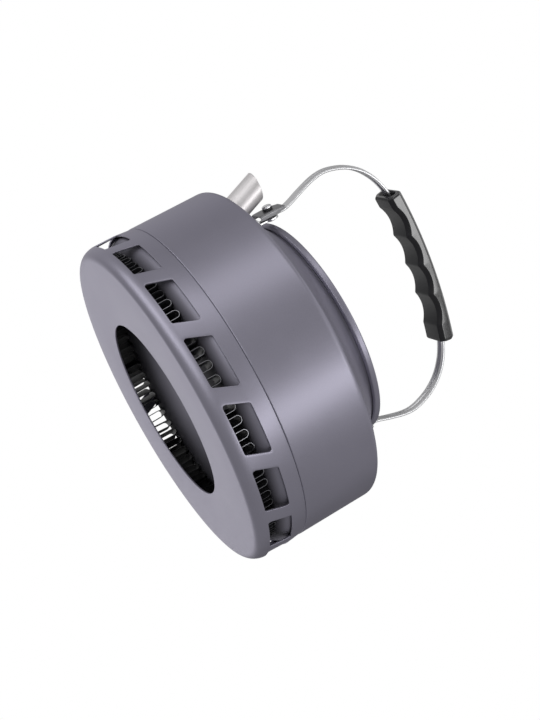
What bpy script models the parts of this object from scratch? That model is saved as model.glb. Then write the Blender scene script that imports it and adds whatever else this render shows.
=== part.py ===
"""Camping kettle with a heat exchanger base, in metres, +Z up.

The origin is the centre of the base's underside. +X is the way the spout points, and the bail stands
in the XZ plane and folds to either side about an axis along X.
"""
from math import asin, atan2, cos, degrees, hypot, pi, radians, sin, sqrt, tan

import bmesh
import bpy
import numpy as np
from mathutils import Euler, Matrix, Vector

# Clearances and sheet gauges
GAP = 0.0003                # between pieces that touch
BODY_SHEET = 0.0012
SKIRT_SHEET = 0.0010
LID_SHEET = 0.0010
FIN_SHEET = 0.0004

# Body, a drawn pot with a conical shoulder and a short neck
BODY_RADIUS = 0.0925
BODY_CORNER = 0.0077        # bottom corner, outside
SHOULDER_EDGE_Z = 0.0720    # where wall and shoulder cone would meet without the fillet
SHOULDER_SLOPE = radians(33.3)
SHOULDER_FILLET = 0.0080
SHOULDER_WIDTH = 0.0313     # from the wall in to the upright neck
NECK_LEDGE = 0.0036         # flat ring round the foot of the neck
NECK_HEIGHT = 0.0041

# Heat exchanger: a fin ring brazed under the body, and the skirt round it
FIN_HEIGHT = 0.0133
FIN_DEPTH = 0.0140          # of the ring, along the radius
FIN_CLEARANCE = 0.0061      # from the fins out to the skirt's wall
FIN_COUNT = 72
FIN_FIRST = radians(2.7)
FIN_LOOP_SHARE = 0.58       # of the pitch that one loop takes
SKIRT_SWELL = 0.0006        # how far the skirt stands out past the body's wall
SKIRT_SEAM_Z = 0.0287
SKIRT_TAPER_Z = 0.0197      # above this the skirt draws in towards the seam
SKIRT_SEAM_SETBACK = 0.0003  # of the skirt's top edge behind the body's wall
SKIRT_CORNER_WIDTH = 0.0057
SKIRT_CORNER_HEIGHT = 0.0081
BURNER_RADIUS = 0.0506
WINDOW_COUNT = 16
WINDOW_BOTTOM_Z = 0.0068
WINDOW_TOP_Z = 0.0200
WINDOW_WIDTH = radians(16.8)
WINDOW_SKEW = radians(3.4)  # the top edge is turned on by this
WINDOW_FIRST = radians(7.75)
WINDOW_CORNER = 0.0013

# Spout, a short tube leaning outwards with its mouth cut level
SPOUT_RADIUS = 0.0073
SPOUT_WALL = 0.0008
SPOUT_LEAN = radians(21.8)
SPOUT_SETBACK = 0.0131      # from the body's wall in to where the spout's axis meets the shoulder
SPOUT_RISE = 0.0144         # from there up to the mouth
SPOUT_INSIDE = 0.0015       # how far it reaches past the shoulder into the body

# Lid and its knob
LID_RIM_CLEARANCE = 0.0007  # from the neck out to the lid's rim
LID_RIM_LIFT = 0.0012       # the rim stops this far above the ledge
LID_EDGE = 0.0010           # rounding of the rim's top edge
LID_PLUG_CLEARANCE = 0.0004
LID_RECESS = 0.0056         # depth of the sunk middle
LID_CROWN = 0.0006          # rise of the middle towards the knob
STEAM_HOLE_RADIUS = 0.0016
STEAM_HOLE_AT = 0.0400
KNOB_RADIUS = 0.0135
KNOB_HEIGHT = 0.0132
KNOB_WAIST = 0.0085
KNOB_COLLAR = 0.0015        # how far the knob's foot stands out past its waist
KNOB_ROUNDING = 0.0025
SCREW_RADIUS = 0.0020
SCREW_GRIP = 0.0080         # thread length inside the knob
SCREW_HEAD_RADIUS = 0.0038
SCREW_HEAD_HEIGHT = 0.0022
SCREW_WASHER_RADIUS = 0.0050
SCREW_WASHER_SHEET = 0.0008

# Hinge pins, along X
HINGE_ABOVE_LID = 0.0007
PIN_RADIUS = 0.0016
PIN_TAIL_SPREAD = 0.0008    # of the riveted tail past the pin
PIN_TAIL = 0.0009
PIN_RIM_CLEARANCE = 0.0012  # from the pin's tail to the lid's rim
PIN_HEAD_SPREAD = 0.0011
PIN_HEAD_HEIGHT = 0.0015
WASHER_MARGIN = 0.0002      # of the washers past the pin's head
WASHER_SHEET = 0.0007
SPACER_LENGTH = 0.0009

# Clasps, channels round the ends of the bail
CLASP_SHEET = 0.0010
CLASP_HALF_WIDTH = 0.0061
CLASP_TOP = 0.0093          # above the pin
CLASP_FLANGE = 0.0036       # deepest part of the side flanges

# Ears on the shoulder
EAR_SHEET = 0.0012
EAR_LOBE_MARGIN = 0.0027    # metal round the pin
EAR_FOOT_MARGIN = 0.0003    # of the plate past each foot
EAR_SHOULDER_RISE = 0.0020
FOOT_CLEARANCE = 0.0004     # between a foot and the clasp that swings past it
FOOT_WIDTH = 0.0056
FOOT_LENGTH = 0.0095
RIVET_RADIUS = 0.0013
RIVET_HEAD_SPREAD = 0.0009
RIVET_HEAD_HEIGHT = 0.0009

# Bail, a flat strip with a pressed rib
STRIP_SHEET = 0.0014
STRIP_END_WIDTH = 0.0068
STRIP_WIDTH = 0.0100
RIB_WIDTH = 0.0034
RIB_HEIGHT = 0.0009
BAIL_RISE = 0.0730          # the strip's middle above the hinge
BAIL_ARCH_RADIUS = 0.2900
BAIL_LEG_TOP = 0.0085       # the strip is straight up to here above the hinge
BAIL_LEAN = radians(3.0)    # how the bail stands, turned about +X

# Grip, moulded round the middle of the strip
GRIP_LENGTH = 0.0920
GRIP_WIDTH = 0.0186
GRIP_THICKNESS = 0.0092
GRIP_CHAMFER = 0.0023
GRIP_END_ROUND = 0.0016
GRIP_ARCH_INSIDE = 0.0020   # the strip's arch ends this far inside the grip
GROOVE_COUNT = 4
GROOVE_PITCH = 0.0186
GROOVE_DEPTH = 0.0022
GROOVE_CENTRE = 0.0020      # the row of finger grooves sits a little towards the spout
GRIP_MOUTH_DEPTH = 0.0022   # recess in each end face round the strip
GRIP_MOUTH_MARGIN = 0.0018

# Facets round a full turn
BODY_STEPS = 40             # the skirt has the same, so that the two nest
LID_STEPS = 32
KNOB_STEPS = 20
SMALL_STEPS = 14
RIVET_STEPS = 8
CUT_OVERRUN = 0.0040        # how far a cutter runs past what it cuts

# Radii that follow from the sizes above
LAP_RADIUS = BODY_RADIUS - SKIRT_SEAM_SETBACK - SKIRT_SHEET - GAP
NECK_RADIUS = BODY_RADIUS - SHOULDER_WIDTH
LEDGE_RADIUS = NECK_RADIUS + NECK_LEDGE
LID_RADIUS = NECK_RADIUS + LID_RIM_CLEARANCE + LID_SHEET
SKIRT_RADIUS = BODY_RADIUS + SKIRT_SWELL
FIN_OUTER_RADIUS = SKIRT_RADIUS - SKIRT_SHEET - FIN_CLEARANCE
FIN_INNER_RADIUS = FIN_OUTER_RADIUS - FIN_DEPTH
HOLE_RADIUS = PIN_RADIUS + GAP
PIN_HEAD_RADIUS = PIN_RADIUS + PIN_HEAD_SPREAD
WASHER_RADIUS = PIN_HEAD_RADIUS + WASHER_MARGIN
EAR_LOBE = PIN_RADIUS + EAR_LOBE_MARGIN
FOOT_AT = CLASP_HALF_WIDTH + FOOT_CLEARANCE + FOOT_WIDTH / 2
EAR_HALF_WIDTH = FOOT_AT + FOOT_WIDTH / 2 + EAR_FOOT_MARGIN
RIVET_HEAD_RADIUS = RIVET_RADIUS + RIVET_HEAD_SPREAD

# Places along X, from the lid's rim out through one hinge
TAIL_X = LID_RADIUS + PIN_RIM_CLEARANCE
EAR_X = TAIL_X + PIN_TAIL + GAP
LEG_X = EAR_X + EAR_SHEET + GAP + STRIP_SHEET / 2
SPACER_X = LEG_X + STRIP_SHEET / 2 + GAP
CLASP_X = SPACER_X + SPACER_LENGTH + GAP + CLASP_SHEET   # outer face of the clasp
WASHER_X = CLASP_X + GAP
HEAD_X = WASHER_X + WASHER_SHEET + GAP


def shoulder_z(radius):
    """Height of the shoulder cone's outside at this radius."""
    return SHOULDER_EDGE_Z + (BODY_RADIUS - radius) * tan(SHOULDER_SLOPE)


# Levels, from the base up
BOTTOM_Z = SKIRT_SHEET + GAP + FIN_HEIGHT + GAP
STEP_Z = SKIRT_SEAM_Z + GAP
LEDGE_Z = shoulder_z(LEDGE_RADIUS)
NECK_TOP_Z = LEDGE_Z + NECK_HEIGHT
LID_TOP_Z = NECK_TOP_Z + GAP + LID_SHEET
FLOOR_Z = LID_TOP_Z - LID_RECESS
KNOB_SEAT_Z = FLOOR_Z + LID_CROWN
PIVOT_Z = LID_TOP_Z + HINGE_ABOVE_LID

# The spout's axis, where it meets the shoulder, and the middle of its mouth
SPOUT_AXIS = Vector((sin(SPOUT_LEAN), 0.0, cos(SPOUT_LEAN)))
SPOUT_ROOT = Vector((BODY_RADIUS - SPOUT_SETBACK, 0.0, shoulder_z(BODY_RADIUS - SPOUT_SETBACK)))
SPOUT_MOUTH = SPOUT_ROOT + SPOUT_AXIS * (SPOUT_RISE / cos(SPOUT_LEAN))


def clear_scene():
    """Remove whatever the scene holds."""
    for item in list(bpy.data.objects):
        bpy.data.objects.remove(item, do_unlink=True)


def collection(name):
    """A new collection in the scene."""
    group = bpy.data.collections.new(name)
    bpy.context.scene.collection.children.link(group)
    return group


def material(name, colour, metallic, roughness):
    """A plain Principled material."""
    shader = bpy.data.materials.new(name)
    shader.use_nodes = True
    principled = shader.node_tree.nodes["Principled BSDF"]
    principled.inputs["Base Color"].default_value = (*colour, 1.0)
    principled.inputs["Metallic"].default_value = metallic
    principled.inputs["Roughness"].default_value = roughness
    return shader


clear_scene()
PARTS = collection("camping_kettle")
CUTTERS = collection("cutters")
ANODISED = material("hard_anodised_aluminium", (0.19, 0.18, 0.21), 0.6, 0.45)
BARE_ALUMINIUM = material("bare_aluminium", (0.55, 0.55, 0.56), 0.9, 0.4)
STAINLESS = material("stainless_steel", (0.6, 0.59, 0.58), 1.0, 0.25)
BLACK_PLASTIC = material("black_plastic", (0.015, 0.015, 0.017), 0.0, 0.3)


def arc(centre, radii, start, end, steps):
    """Points of an elliptical arc in (radius, height), angles in degrees from +radius to +height."""
    turns = np.radians(np.linspace(start, end, steps + 1))
    return [(centre[0] + radii[0] * cos(turn), centre[1] + radii[1] * sin(turn)) for turn in turns]


def add_part(name, mesh, shader, parent=None):
    """Put a mesh in the parts' collection as a named, smooth shaded object."""
    part = bpy.data.objects.new(name, mesh)
    PARTS.objects.link(part)
    mesh.materials.append(shader)
    part.parent = parent
    return part


def smooth(mesh, angle=35.0):
    """Shade round faces smooth and keep the sharp edges."""
    mesh.shade_smooth()
    mesh.set_sharp_from_angle(angle=radians(angle))


def wire_mesh(name, profile, closed):
    """A chain of edges through (x, z) points, for the Screw modifier."""
    mesh = bpy.data.meshes.new(name)
    count = len(profile)
    edges = [(i, i + 1) for i in range(count - 1)]
    if closed:
        edges.append((count - 1, 0))
    mesh.from_pydata([(x, 0.0, z) for x, z in profile], edges, [])
    return mesh


def turned(name, profile, steps, shader, parent=None, closed=False):
    """A turned piece: the profile swept once round Z. A closed profile leaves a bore."""
    part = add_part(name, wire_mesh(name, profile, closed), shader, parent)
    screw = part.modifiers.new("turn", "SCREW")
    screw.axis = "Z"
    screw.angle = 2 * pi
    screw.steps = steps
    screw.render_steps = steps
    screw.use_merge_vertices = True
    screw.merge_threshold = 0.00002
    screw.use_smooth_shade = True
    return part


def loft(name, rings, shader, parent=None, ring_closed=True, rings_closed=False, caps=True):
    """Skin equal rings of points into one mesh, with flat caps on the first and last ring."""
    rings = np.asarray(rings, dtype=float)
    count, around = rings.shape[:2]
    index = np.arange(count * around).reshape(count, around)
    columns = np.arange(around if ring_closed else around - 1)
    rows = np.arange(count if rings_closed else count - 1)
    row, column = np.meshgrid(rows, columns, indexing="ij")
    next_row = (row + 1) % count
    next_column = (column + 1) % around
    quads = np.stack(
        [index[row, column], index[row, next_column], index[next_row, next_column], index[next_row, column]],
        axis=-1,
    ).reshape(-1, 4)
    faces = quads.tolist()
    if caps and ring_closed and not rings_closed:
        faces.append(index[0][::-1].tolist())
        faces.append(index[-1].tolist())
    mesh = bpy.data.meshes.new(name)
    mesh.from_pydata(rings.reshape(-1, 3).tolist(), [], faces)
    if ring_closed:
        shell = bmesh.new()
        shell.from_mesh(mesh)
        bmesh.ops.recalc_face_normals(shell, faces=shell.faces)
        shell.to_mesh(mesh)
        shell.free()
    smooth(mesh)
    return add_part(name, mesh, shader, parent)


def make_cutter(part):
    """Turn an object into a cutter: out of the parts, drawn as wire, never rendered."""
    for group in list(part.users_collection):
        group.objects.unlink(part)
    CUTTERS.objects.link(part)
    part.hide_render = True
    part.display_type = "WIRE"
    return part


def boolean(part, other, operation="DIFFERENCE"):
    """Cut a piece with another, or join the two."""
    modifier = part.modifiers.new(operation.lower(), "BOOLEAN")
    modifier.operation = operation
    modifier.solver = "EXACT"
    modifier.object = other


def cylinder(name, radius, depth, matrix, vertices=16):
    """A round cutter, its axis along the matrix's Z."""
    bpy.ops.mesh.primitive_cylinder_add(vertices=vertices, radius=radius, depth=depth)
    rod = make_cutter(bpy.context.object)
    rod.name = name
    rod.matrix_world = matrix
    return rod


def along_x(x, y=0.0, z=0.0):
    """A frame at a point whose Z runs along +X."""
    return Matrix.Translation((x, y, z)) @ Euler((0.0, pi / 2, 0.0)).to_matrix().to_4x4()


def shoulder_frame(azimuth, radius):
    """A frame on the shoulder: X runs down the slope and Z stands out of the surface."""
    place = Matrix.Rotation(azimuth, 4, "Z") @ Matrix.Translation((radius, 0.0, shoulder_z(radius)))
    return place @ Matrix.Rotation(SHOULDER_SLOPE, 4, "Y")


def foot_azimuth():
    """Angle from the bail's plane to the middle of a foot."""
    return asin(FOOT_AT / foot_radius())


def foot_radius():
    """Distance from the kettle's axis to a foot's middle."""
    return hypot(EAR_X + EAR_SHEET / 2 + FOOT_LENGTH / 2 * cos(SHOULDER_SLOPE), FOOT_AT)


def kettle_body():
    """The drawn pot, with holes for the spout and the ears' rivets."""
    inner_lap = LAP_RADIUS - BODY_SHEET
    inner_wall = BODY_RADIUS - BODY_SHEET
    inner_neck = NECK_RADIUS - BODY_SHEET
    corner = (LAP_RADIUS - BODY_CORNER, BOTTOM_Z + BODY_CORNER)
    tangent = SHOULDER_FILLET * tan((pi / 2 - SHOULDER_SLOPE) / 2)
    crest = (BODY_RADIUS - SHOULDER_FILLET, SHOULDER_EDGE_Z - tangent)
    crest_end = degrees(pi / 2 - SHOULDER_SLOPE)
    inner_cone_drop = BODY_SHEET / cos(SHOULDER_SLOPE)
    under_ledge_z = LEDGE_Z - BODY_SHEET
    under_ledge_radius = LEDGE_RADIUS + (BODY_SHEET - inner_cone_drop) / tan(SHOULDER_SLOPE)
    fillet = SHOULDER_FILLET
    inside = [
        (0.0, BOTTOM_Z + BODY_SHEET),
        *arc(corner, (BODY_CORNER - BODY_SHEET,) * 2, -90, 0, 3),
        (inner_lap, STEP_Z + BODY_SHEET),
        (inner_wall, STEP_Z + BODY_SHEET + GAP),
        *arc(crest, (fillet - BODY_SHEET,) * 2, 0, crest_end, 2),
        (under_ledge_radius, under_ledge_z),
        (inner_neck, under_ledge_z),
        (inner_neck, NECK_TOP_Z),
    ]
    outside = [
        (NECK_RADIUS, NECK_TOP_Z),
        (NECK_RADIUS, LEDGE_Z),
        (LEDGE_RADIUS, LEDGE_Z),
        *arc(crest, (fillet, fillet), crest_end, 0, 5),
        (BODY_RADIUS, STEP_Z + GAP),
        (BODY_RADIUS - GAP, STEP_Z),
        (LAP_RADIUS, STEP_Z),
        *arc(corner, (BODY_CORNER, BODY_CORNER), 0, -90, 4),
        (0.0, BOTTOM_Z),
    ]
    body = turned("kettle_body", inside + outside, BODY_STEPS, ANODISED)
    spout_hole = Matrix.Translation(SPOUT_ROOT) @ Matrix.Rotation(SPOUT_LEAN, 4, "Y")
    boolean(body, cylinder("spout_hole", SPOUT_RADIUS + GAP, 4 * SPOUT_RADIUS, spout_hole, 32))
    for side in (0.0, pi):
        for foot in (-1, 1):
            frame = shoulder_frame(side + foot * foot_azimuth(), foot_radius())
            boolean(body, cylinder("rivet_hole", RIVET_RADIUS + GAP, 6 * BODY_SHEET, frame, 12))
    return body


def window_cutter():
    """All sixteen slanted windows as one set of radial prisms with rounded corners."""
    radius = SKIRT_RADIUS
    half = WINDOW_WIDTH * radius / 2
    rise = (WINDOW_TOP_Z - WINDOW_BOTTOM_Z) / 2
    slant = WINDOW_SKEW * radius / 2
    corners = [(-half - slant, -rise), (half - slant, -rise), (half + slant, rise), (-half + slant, rise)]
    outline = []
    for i, corner in enumerate(corners):
        here = Vector(corner)
        before = (Vector(corners[i - 1]) - here).normalized()
        after = (Vector(corners[(i + 1) % 4]) - here).normalized()
        opening = before.angle(after)
        middle = (before + after).normalized()
        centre = here + middle * (WINDOW_CORNER / sin(opening / 2))
        first = atan2(*reversed(here + before * (WINDOW_CORNER / tan(opening / 2)) - centre))
        sweep = pi - opening
        for step in range(3):
            turn = first + sweep * step / 2
            outline.append((centre.x + WINDOW_CORNER * cos(turn), centre.y + WINDOW_CORNER * sin(turn)))
    outline = np.array(outline)
    mid_z = (WINDOW_TOP_Z + WINDOW_BOTTOM_Z) / 2
    prisms = bmesh.new()
    for k in range(WINDOW_COUNT):
        middle = WINDOW_FIRST + (WINDOW_WIDTH + WINDOW_SKEW) / 2 + 2 * pi * k / WINDOW_COUNT
        rings = []
        for reach in (LAP_RADIUS - 2 * SKIRT_SHEET, SKIRT_RADIUS + 3 * SKIRT_SHEET):
            turn = outline[:, 0] / radius
            spread = reach * np.tan(turn)
            x = reach * cos(middle) - spread * sin(middle)
            y = reach * sin(middle) + spread * cos(middle)
            rings.append([prisms.verts.new(point) for point in zip(x, y, outline[:, 1] + mid_z)])
        count = len(outline)
        for i in range(count):
            j = (i + 1) % count
            prisms.faces.new((rings[0][i], rings[0][j], rings[1][j], rings[1][i]))
        prisms.faces.new(rings[0][::-1])
        prisms.faces.new(rings[1])
    bmesh.ops.recalc_face_normals(prisms, faces=prisms.faces)
    mesh = bpy.data.meshes.new("windows")
    prisms.to_mesh(mesh)
    prisms.free()
    return make_cutter(add_part("windows", mesh, ANODISED))


def heat_exchanger_skirt():
    """The base ring with the burner hole, its rounded corner, the windowed wall and the taper."""
    corner = (SKIRT_RADIUS - SKIRT_CORNER_WIDTH, SKIRT_CORNER_HEIGHT)
    inner_radii = (SKIRT_CORNER_WIDTH - SKIRT_SHEET, SKIRT_CORNER_HEIGHT - SKIRT_SHEET)
    seam_radius = BODY_RADIUS - SKIRT_SEAM_SETBACK
    profile = [
        (seam_radius, SKIRT_SEAM_Z),
        (SKIRT_RADIUS, SKIRT_TAPER_Z),
        *arc(corner, (SKIRT_CORNER_WIDTH, SKIRT_CORNER_HEIGHT), 0, -90, 5),
        (BURNER_RADIUS, 0.0),
        (BURNER_RADIUS, SKIRT_SHEET),
        *arc(corner, inner_radii, -90, 0, 3),
        (SKIRT_RADIUS - SKIRT_SHEET, SKIRT_TAPER_Z),
        (seam_radius - SKIRT_SHEET, SKIRT_SEAM_Z),
    ]
    skirt = turned("heat_exchanger_skirt", profile, BODY_STEPS, ANODISED, closed=True)
    boolean(skirt, window_cutter())
    return skirt


def heat_exchanger_fins():
    """One corrugated strip bent into a ring: round-topped radial loops from base to body."""
    low = SKIRT_SHEET + GAP + FIN_SHEET / 2
    high = BOTTOM_Z - GAP - FIN_SHEET / 2
    pitch = 2 * pi / FIN_COUNT
    leg = FIN_LOOP_SHARE * pitch / 2
    round_height = leg * (FIN_INNER_RADIUS + FIN_OUTER_RADIUS) / 2
    crown = [(leg * cos(turn), high - round_height + round_height * sin(turn))
             for turn in np.linspace(pi, 0, 4)]
    wave = [(-leg, low), *crown, (leg, low)]
    points = [(FIN_FIRST + k * pitch + turn, z) for k in range(FIN_COUNT) for turn, z in wave]
    rings = [[(radius * cos(turn), radius * sin(turn), z) for turn, z in points]
             for radius in (FIN_INNER_RADIUS, FIN_OUTER_RADIUS)]
    mesh = bpy.data.meshes.new("heat_exchanger_fins")
    count = len(points)
    faces = [(i, (i + 1) % count, count + (i + 1) % count, count + i) for i in range(count)]
    mesh.from_pydata([point for ring in rings for point in ring], [], faces)
    fins = add_part("heat_exchanger_fins", mesh, BARE_ALUMINIUM)
    shell = fins.modifiers.new("sheet", "SOLIDIFY")
    shell.thickness = FIN_SHEET
    shell.offset = 0.0
    return fins


def spout_tube():
    """A tube along the leaning axis, cut level at the mouth and along the slope inside."""
    across = Vector((0.0, 1.0, 0.0))
    forward = across.cross(SPOUT_AXIS)
    slope_normal = Vector((sin(SHOULDER_SLOPE), 0.0, cos(SHOULDER_SLOPE)))
    inside = Vector((BODY_RADIUS, 0.0, SHOULDER_EDGE_Z)) - slope_normal * (BODY_SHEET + SPOUT_INSIDE)
    up = Vector((0.0, 0.0, 1.0))
    rings = []
    for radius, point, normal in (
        (SPOUT_RADIUS, inside, slope_normal),
        (SPOUT_RADIUS, SPOUT_MOUTH, up),
        (SPOUT_RADIUS - SPOUT_WALL, SPOUT_MOUTH, up),
        (SPOUT_RADIUS - SPOUT_WALL, inside, slope_normal),
    ):
        ring = []
        for turn in np.linspace(0, 2 * pi, KNOB_STEPS, endpoint=False):
            start = SPOUT_MOUTH + (forward * cos(turn) + across * sin(turn)) * radius
            travel = (point - start).dot(normal) / SPOUT_AXIS.dot(normal)
            ring.append(start + SPOUT_AXIS * travel)
        rings.append(ring)
    return loft("spout_tube", rings, STAINLESS, rings_closed=True)


def lid_parts():
    """The lid, its knob, and the screw and washer that hold the knob from below."""
    plug = NECK_RADIUS - BODY_SHEET - LID_PLUG_CLEARANCE
    inner_plug = plug - LID_SHEET
    bore = SCREW_RADIUS + GAP
    bend = 2 * LID_SHEET
    floor_edge = inner_plug - bend
    rim_bottom = LEDGE_Z + LID_RIM_LIFT
    profile = [
        (bore, KNOB_SEAT_Z),
        (KNOB_RADIUS + LID_SHEET, KNOB_SEAT_Z),
        *arc((floor_edge, FLOOR_Z + bend), (bend, bend), -90, 0, 2),
        (inner_plug, LID_TOP_Z - LID_SHEET),
        *arc((inner_plug + LID_SHEET, LID_TOP_Z - LID_SHEET), (LID_SHEET, LID_SHEET), 180, 90, 2),
        *arc((LID_RADIUS - LID_EDGE, LID_TOP_Z - LID_EDGE), (LID_EDGE, LID_EDGE), 90, 0, 2),
        (LID_RADIUS, rim_bottom),
        (LID_RADIUS - LID_SHEET, rim_bottom),
        (LID_RADIUS - LID_SHEET, LID_TOP_Z - LID_SHEET),
        (plug, LID_TOP_Z - LID_SHEET),
        *arc((floor_edge, FLOOR_Z + bend), (bend + LID_SHEET, bend + LID_SHEET), 0, -90, 2),
        (KNOB_RADIUS + LID_SHEET, KNOB_SEAT_Z - LID_SHEET),
        (bore, KNOB_SEAT_Z - LID_SHEET),
    ]
    lid = turned("lid_shell", profile, LID_STEPS, ANODISED, closed=True)
    steam = Matrix.Translation((STEAM_HOLE_AT, 0.0, FLOOR_Z))
    boolean(lid, cylinder("steam_hole", STEAM_HOLE_RADIUS, 6 * LID_SHEET, steam, 12))

    base = KNOB_SEAT_Z + GAP
    top = base + KNOB_HEIGHT
    edge = (KNOB_RADIUS - KNOB_ROUNDING, top - KNOB_ROUNDING)
    knob_profile = [
        (0.0, base + SCREW_GRIP + GAP),
        (bore, base + SCREW_GRIP + GAP),
        (bore, base),
        (KNOB_WAIST + KNOB_COLLAR, base),
        (KNOB_WAIST, base + KNOB_HEIGHT / 3),
        (KNOB_WAIST + KNOB_COLLAR, base + KNOB_HEIGHT / 2),
        *arc(edge, (KNOB_ROUNDING, KNOB_ROUNDING), -40, 90, 4),
        (0.0, top + KNOB_COLLAR / 3),
    ]
    knob = turned("lid_knob", knob_profile[::-1], KNOB_STEPS, BLACK_PLASTIC)

    washer_top = KNOB_SEAT_Z - LID_SHEET - GAP
    washer_bottom = washer_top - SCREW_WASHER_SHEET
    washer_profile = [
        (bore, washer_top),
        (SCREW_WASHER_RADIUS, washer_top),
        (SCREW_WASHER_RADIUS, washer_bottom),
        (bore, washer_bottom),
    ]
    washer = turned("knob_washer", washer_profile, SMALL_STEPS, STAINLESS, closed=True)
    head_top = washer_bottom - GAP
    screw_profile = [
        (0.0, base + SCREW_GRIP),
        (SCREW_RADIUS, base + SCREW_GRIP - SCREW_RADIUS / 4),
        (SCREW_RADIUS, head_top),
        (SCREW_HEAD_RADIUS, head_top),
        (SCREW_HEAD_RADIUS, head_top - SCREW_HEAD_HEIGHT / 2),
        (SCREW_HEAD_RADIUS * 0.7, head_top - SCREW_HEAD_HEIGHT),
        (0.0, head_top - SCREW_HEAD_HEIGHT),
    ]
    screw = turned("knob_screw", screw_profile, SMALL_STEPS, STAINLESS)
    return lid, knob, washer, screw


def ear(name, turn):
    """A pressed bracket: an upright plate with the pin's lobe, and two feet down the slope."""
    foot_inside = FOOT_AT - FOOT_WIDTH / 2
    foot_line = [(y, shoulder_z(hypot(EAR_X, y)) + GAP)
                 for y in (-EAR_HALF_WIDTH, -foot_inside, 0.0, foot_inside, EAR_HALF_WIDTH)]
    side_z = foot_line[0][1] + EAR_SHOULDER_RISE
    reach = hypot(EAR_HALF_WIDTH, PIVOT_Z - side_z)
    lift = atan2(PIVOT_Z - side_z, EAR_HALF_WIDTH)
    start = pi / 2 - asin(min(1.0, EAR_LOBE / reach)) - lift
    lobe = [(EAR_LOBE * cos(angle), PIVOT_Z + EAR_LOBE * sin(angle))
            for angle in np.linspace(start, pi - start, 9)]
    outline = [*foot_line, (EAR_HALF_WIDTH, side_z), *lobe, (-EAR_HALF_WIDTH, side_z)]
    rings = [[(x, y, z) for y, z in outline] for x in (EAR_X, EAR_X + EAR_SHEET)]
    plate = loft(name, rings, STAINLESS)
    for side in (-1, 1):
        bpy.ops.mesh.primitive_cube_add(size=1.0)
        foot = make_cutter(bpy.context.object)
        foot.name = "ear_foot"
        foot.data.transform(Matrix.Diagonal((FOOT_LENGTH, FOOT_WIDTH, EAR_SHEET, 1.0)))
        place = shoulder_frame(side * foot_azimuth(), foot_radius())
        lift_off = Matrix.Translation((0.0, 0.0, GAP + EAR_SHEET / 2))
        foot.matrix_world = place @ lift_off
        boolean(plate, foot, "UNION")
        hole = cylinder("foot_hole", RIVET_RADIUS + GAP, 4 * EAR_SHEET, place, 12)
        boolean(plate, hole)
    boolean(plate, cylinder("pin_hole", HOLE_RADIUS, 4 * EAR_SHEET, along_x(EAR_X, 0.0, PIVOT_Z)))
    depsgraph = bpy.context.evaluated_depsgraph_get()
    made = bpy.data.meshes.new_from_object(plate.evaluated_get(depsgraph))
    made.transform(Matrix.Rotation(turn, 4, "Z"))
    made.name = name
    plate.modifiers.clear()
    plate.data = made
    return plate


def ear_rivet(name, turn, side):
    """A rivet through a foot and the shoulder, headed on both sides."""
    outer = GAP + EAR_SHEET + GAP
    inner = -BODY_SHEET - GAP
    profile = [
        (0.0, outer + RIVET_HEAD_HEIGHT),
        (RIVET_HEAD_RADIUS * 0.6, outer + RIVET_HEAD_HEIGHT * 0.85),
        (RIVET_HEAD_RADIUS, outer + RIVET_HEAD_HEIGHT * 0.3),
        (RIVET_HEAD_RADIUS, outer),
        (RIVET_RADIUS, outer),
        (RIVET_RADIUS, inner),
        (RIVET_HEAD_RADIUS, inner),
        (RIVET_HEAD_RADIUS, inner - RIVET_HEAD_HEIGHT * 0.8),
        (0.0, inner - RIVET_HEAD_HEIGHT * 0.8),
    ]
    rivet = turned(name, profile, RIVET_STEPS, STAINLESS)
    rivet.matrix_world = shoulder_frame(turn + side * foot_azimuth(), foot_radius())
    return rivet


def bail_line():
    """The strip's middle line over the front half, as (x, height above the hinge) points.

    It runs up the straight leg, swells outwards, turns in over the shoulder and ends on the arch that
    carries the grip. The points between leg and arch are shares of the box between the two.
    """
    end_x = GRIP_LENGTH / 2 - GRIP_ARCH_INSIDE
    end_z = BAIL_RISE - end_x**2 / (2 * BAIL_ARCH_RADIUS)
    shares = [
        (0.000, 0.000), (-0.055, 0.082), (-0.166, 0.201), (-0.281, 0.349), (-0.311, 0.464), (-0.251, 0.580),
        (-0.128, 0.695), (0.085, 0.812), (0.374, 0.905), (0.681, 0.966), (1.000, 1.000),
    ]
    corner = [(LEG_X + (end_x - LEG_X) * u, BAIL_LEG_TOP + (end_z - BAIL_LEG_TOP) * v) for u, v in shares]
    arch = [(x, BAIL_RISE - x**2 / (2 * BAIL_ARCH_RADIUS)) for x in np.linspace(end_x, 0.0, 4)[1:]]
    round_end = STRIP_END_WIDTH / 2
    leg = [(LEG_X, -round_end), (LEG_X, 0.0), (LEG_X, BAIL_LEG_TOP / 2)]
    return leg + corner + arch


def smooth_line(points, per_span):
    """Catmull-Rom curve through the points, with per_span samples for each span."""
    points = np.array(points)
    padded = np.vstack([2 * points[0] - points[1], points, 2 * points[-1] - points[-2]])
    t = np.linspace(0.0, 1.0, per_span, endpoint=False)[:, None]
    spans = []
    for i in range(len(points) - 1):
        a, b, c, d = padded[i:i + 4]
        spans.append(0.5 * (2 * b + (c - a) * t + (2 * a - 5 * b + 4 * c - d) * t**2
                            + (3 * b - a - 3 * c + d) * t**3))
    return np.vstack([*spans, points[-1:]])


def strip_line():
    """The whole strip's middle line, front end to rear end, with its unit normals."""
    half = smooth_line(bail_line(), 2)
    line = np.vstack([half, half[-2::-1] * (-1.0, 1.0)])
    tangent = np.gradient(line, axis=0)
    tangent /= np.linalg.norm(tangent, axis=1)[:, None]
    return line, np.stack([-tangent[:, 1], tangent[:, 0]], axis=1)


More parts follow.
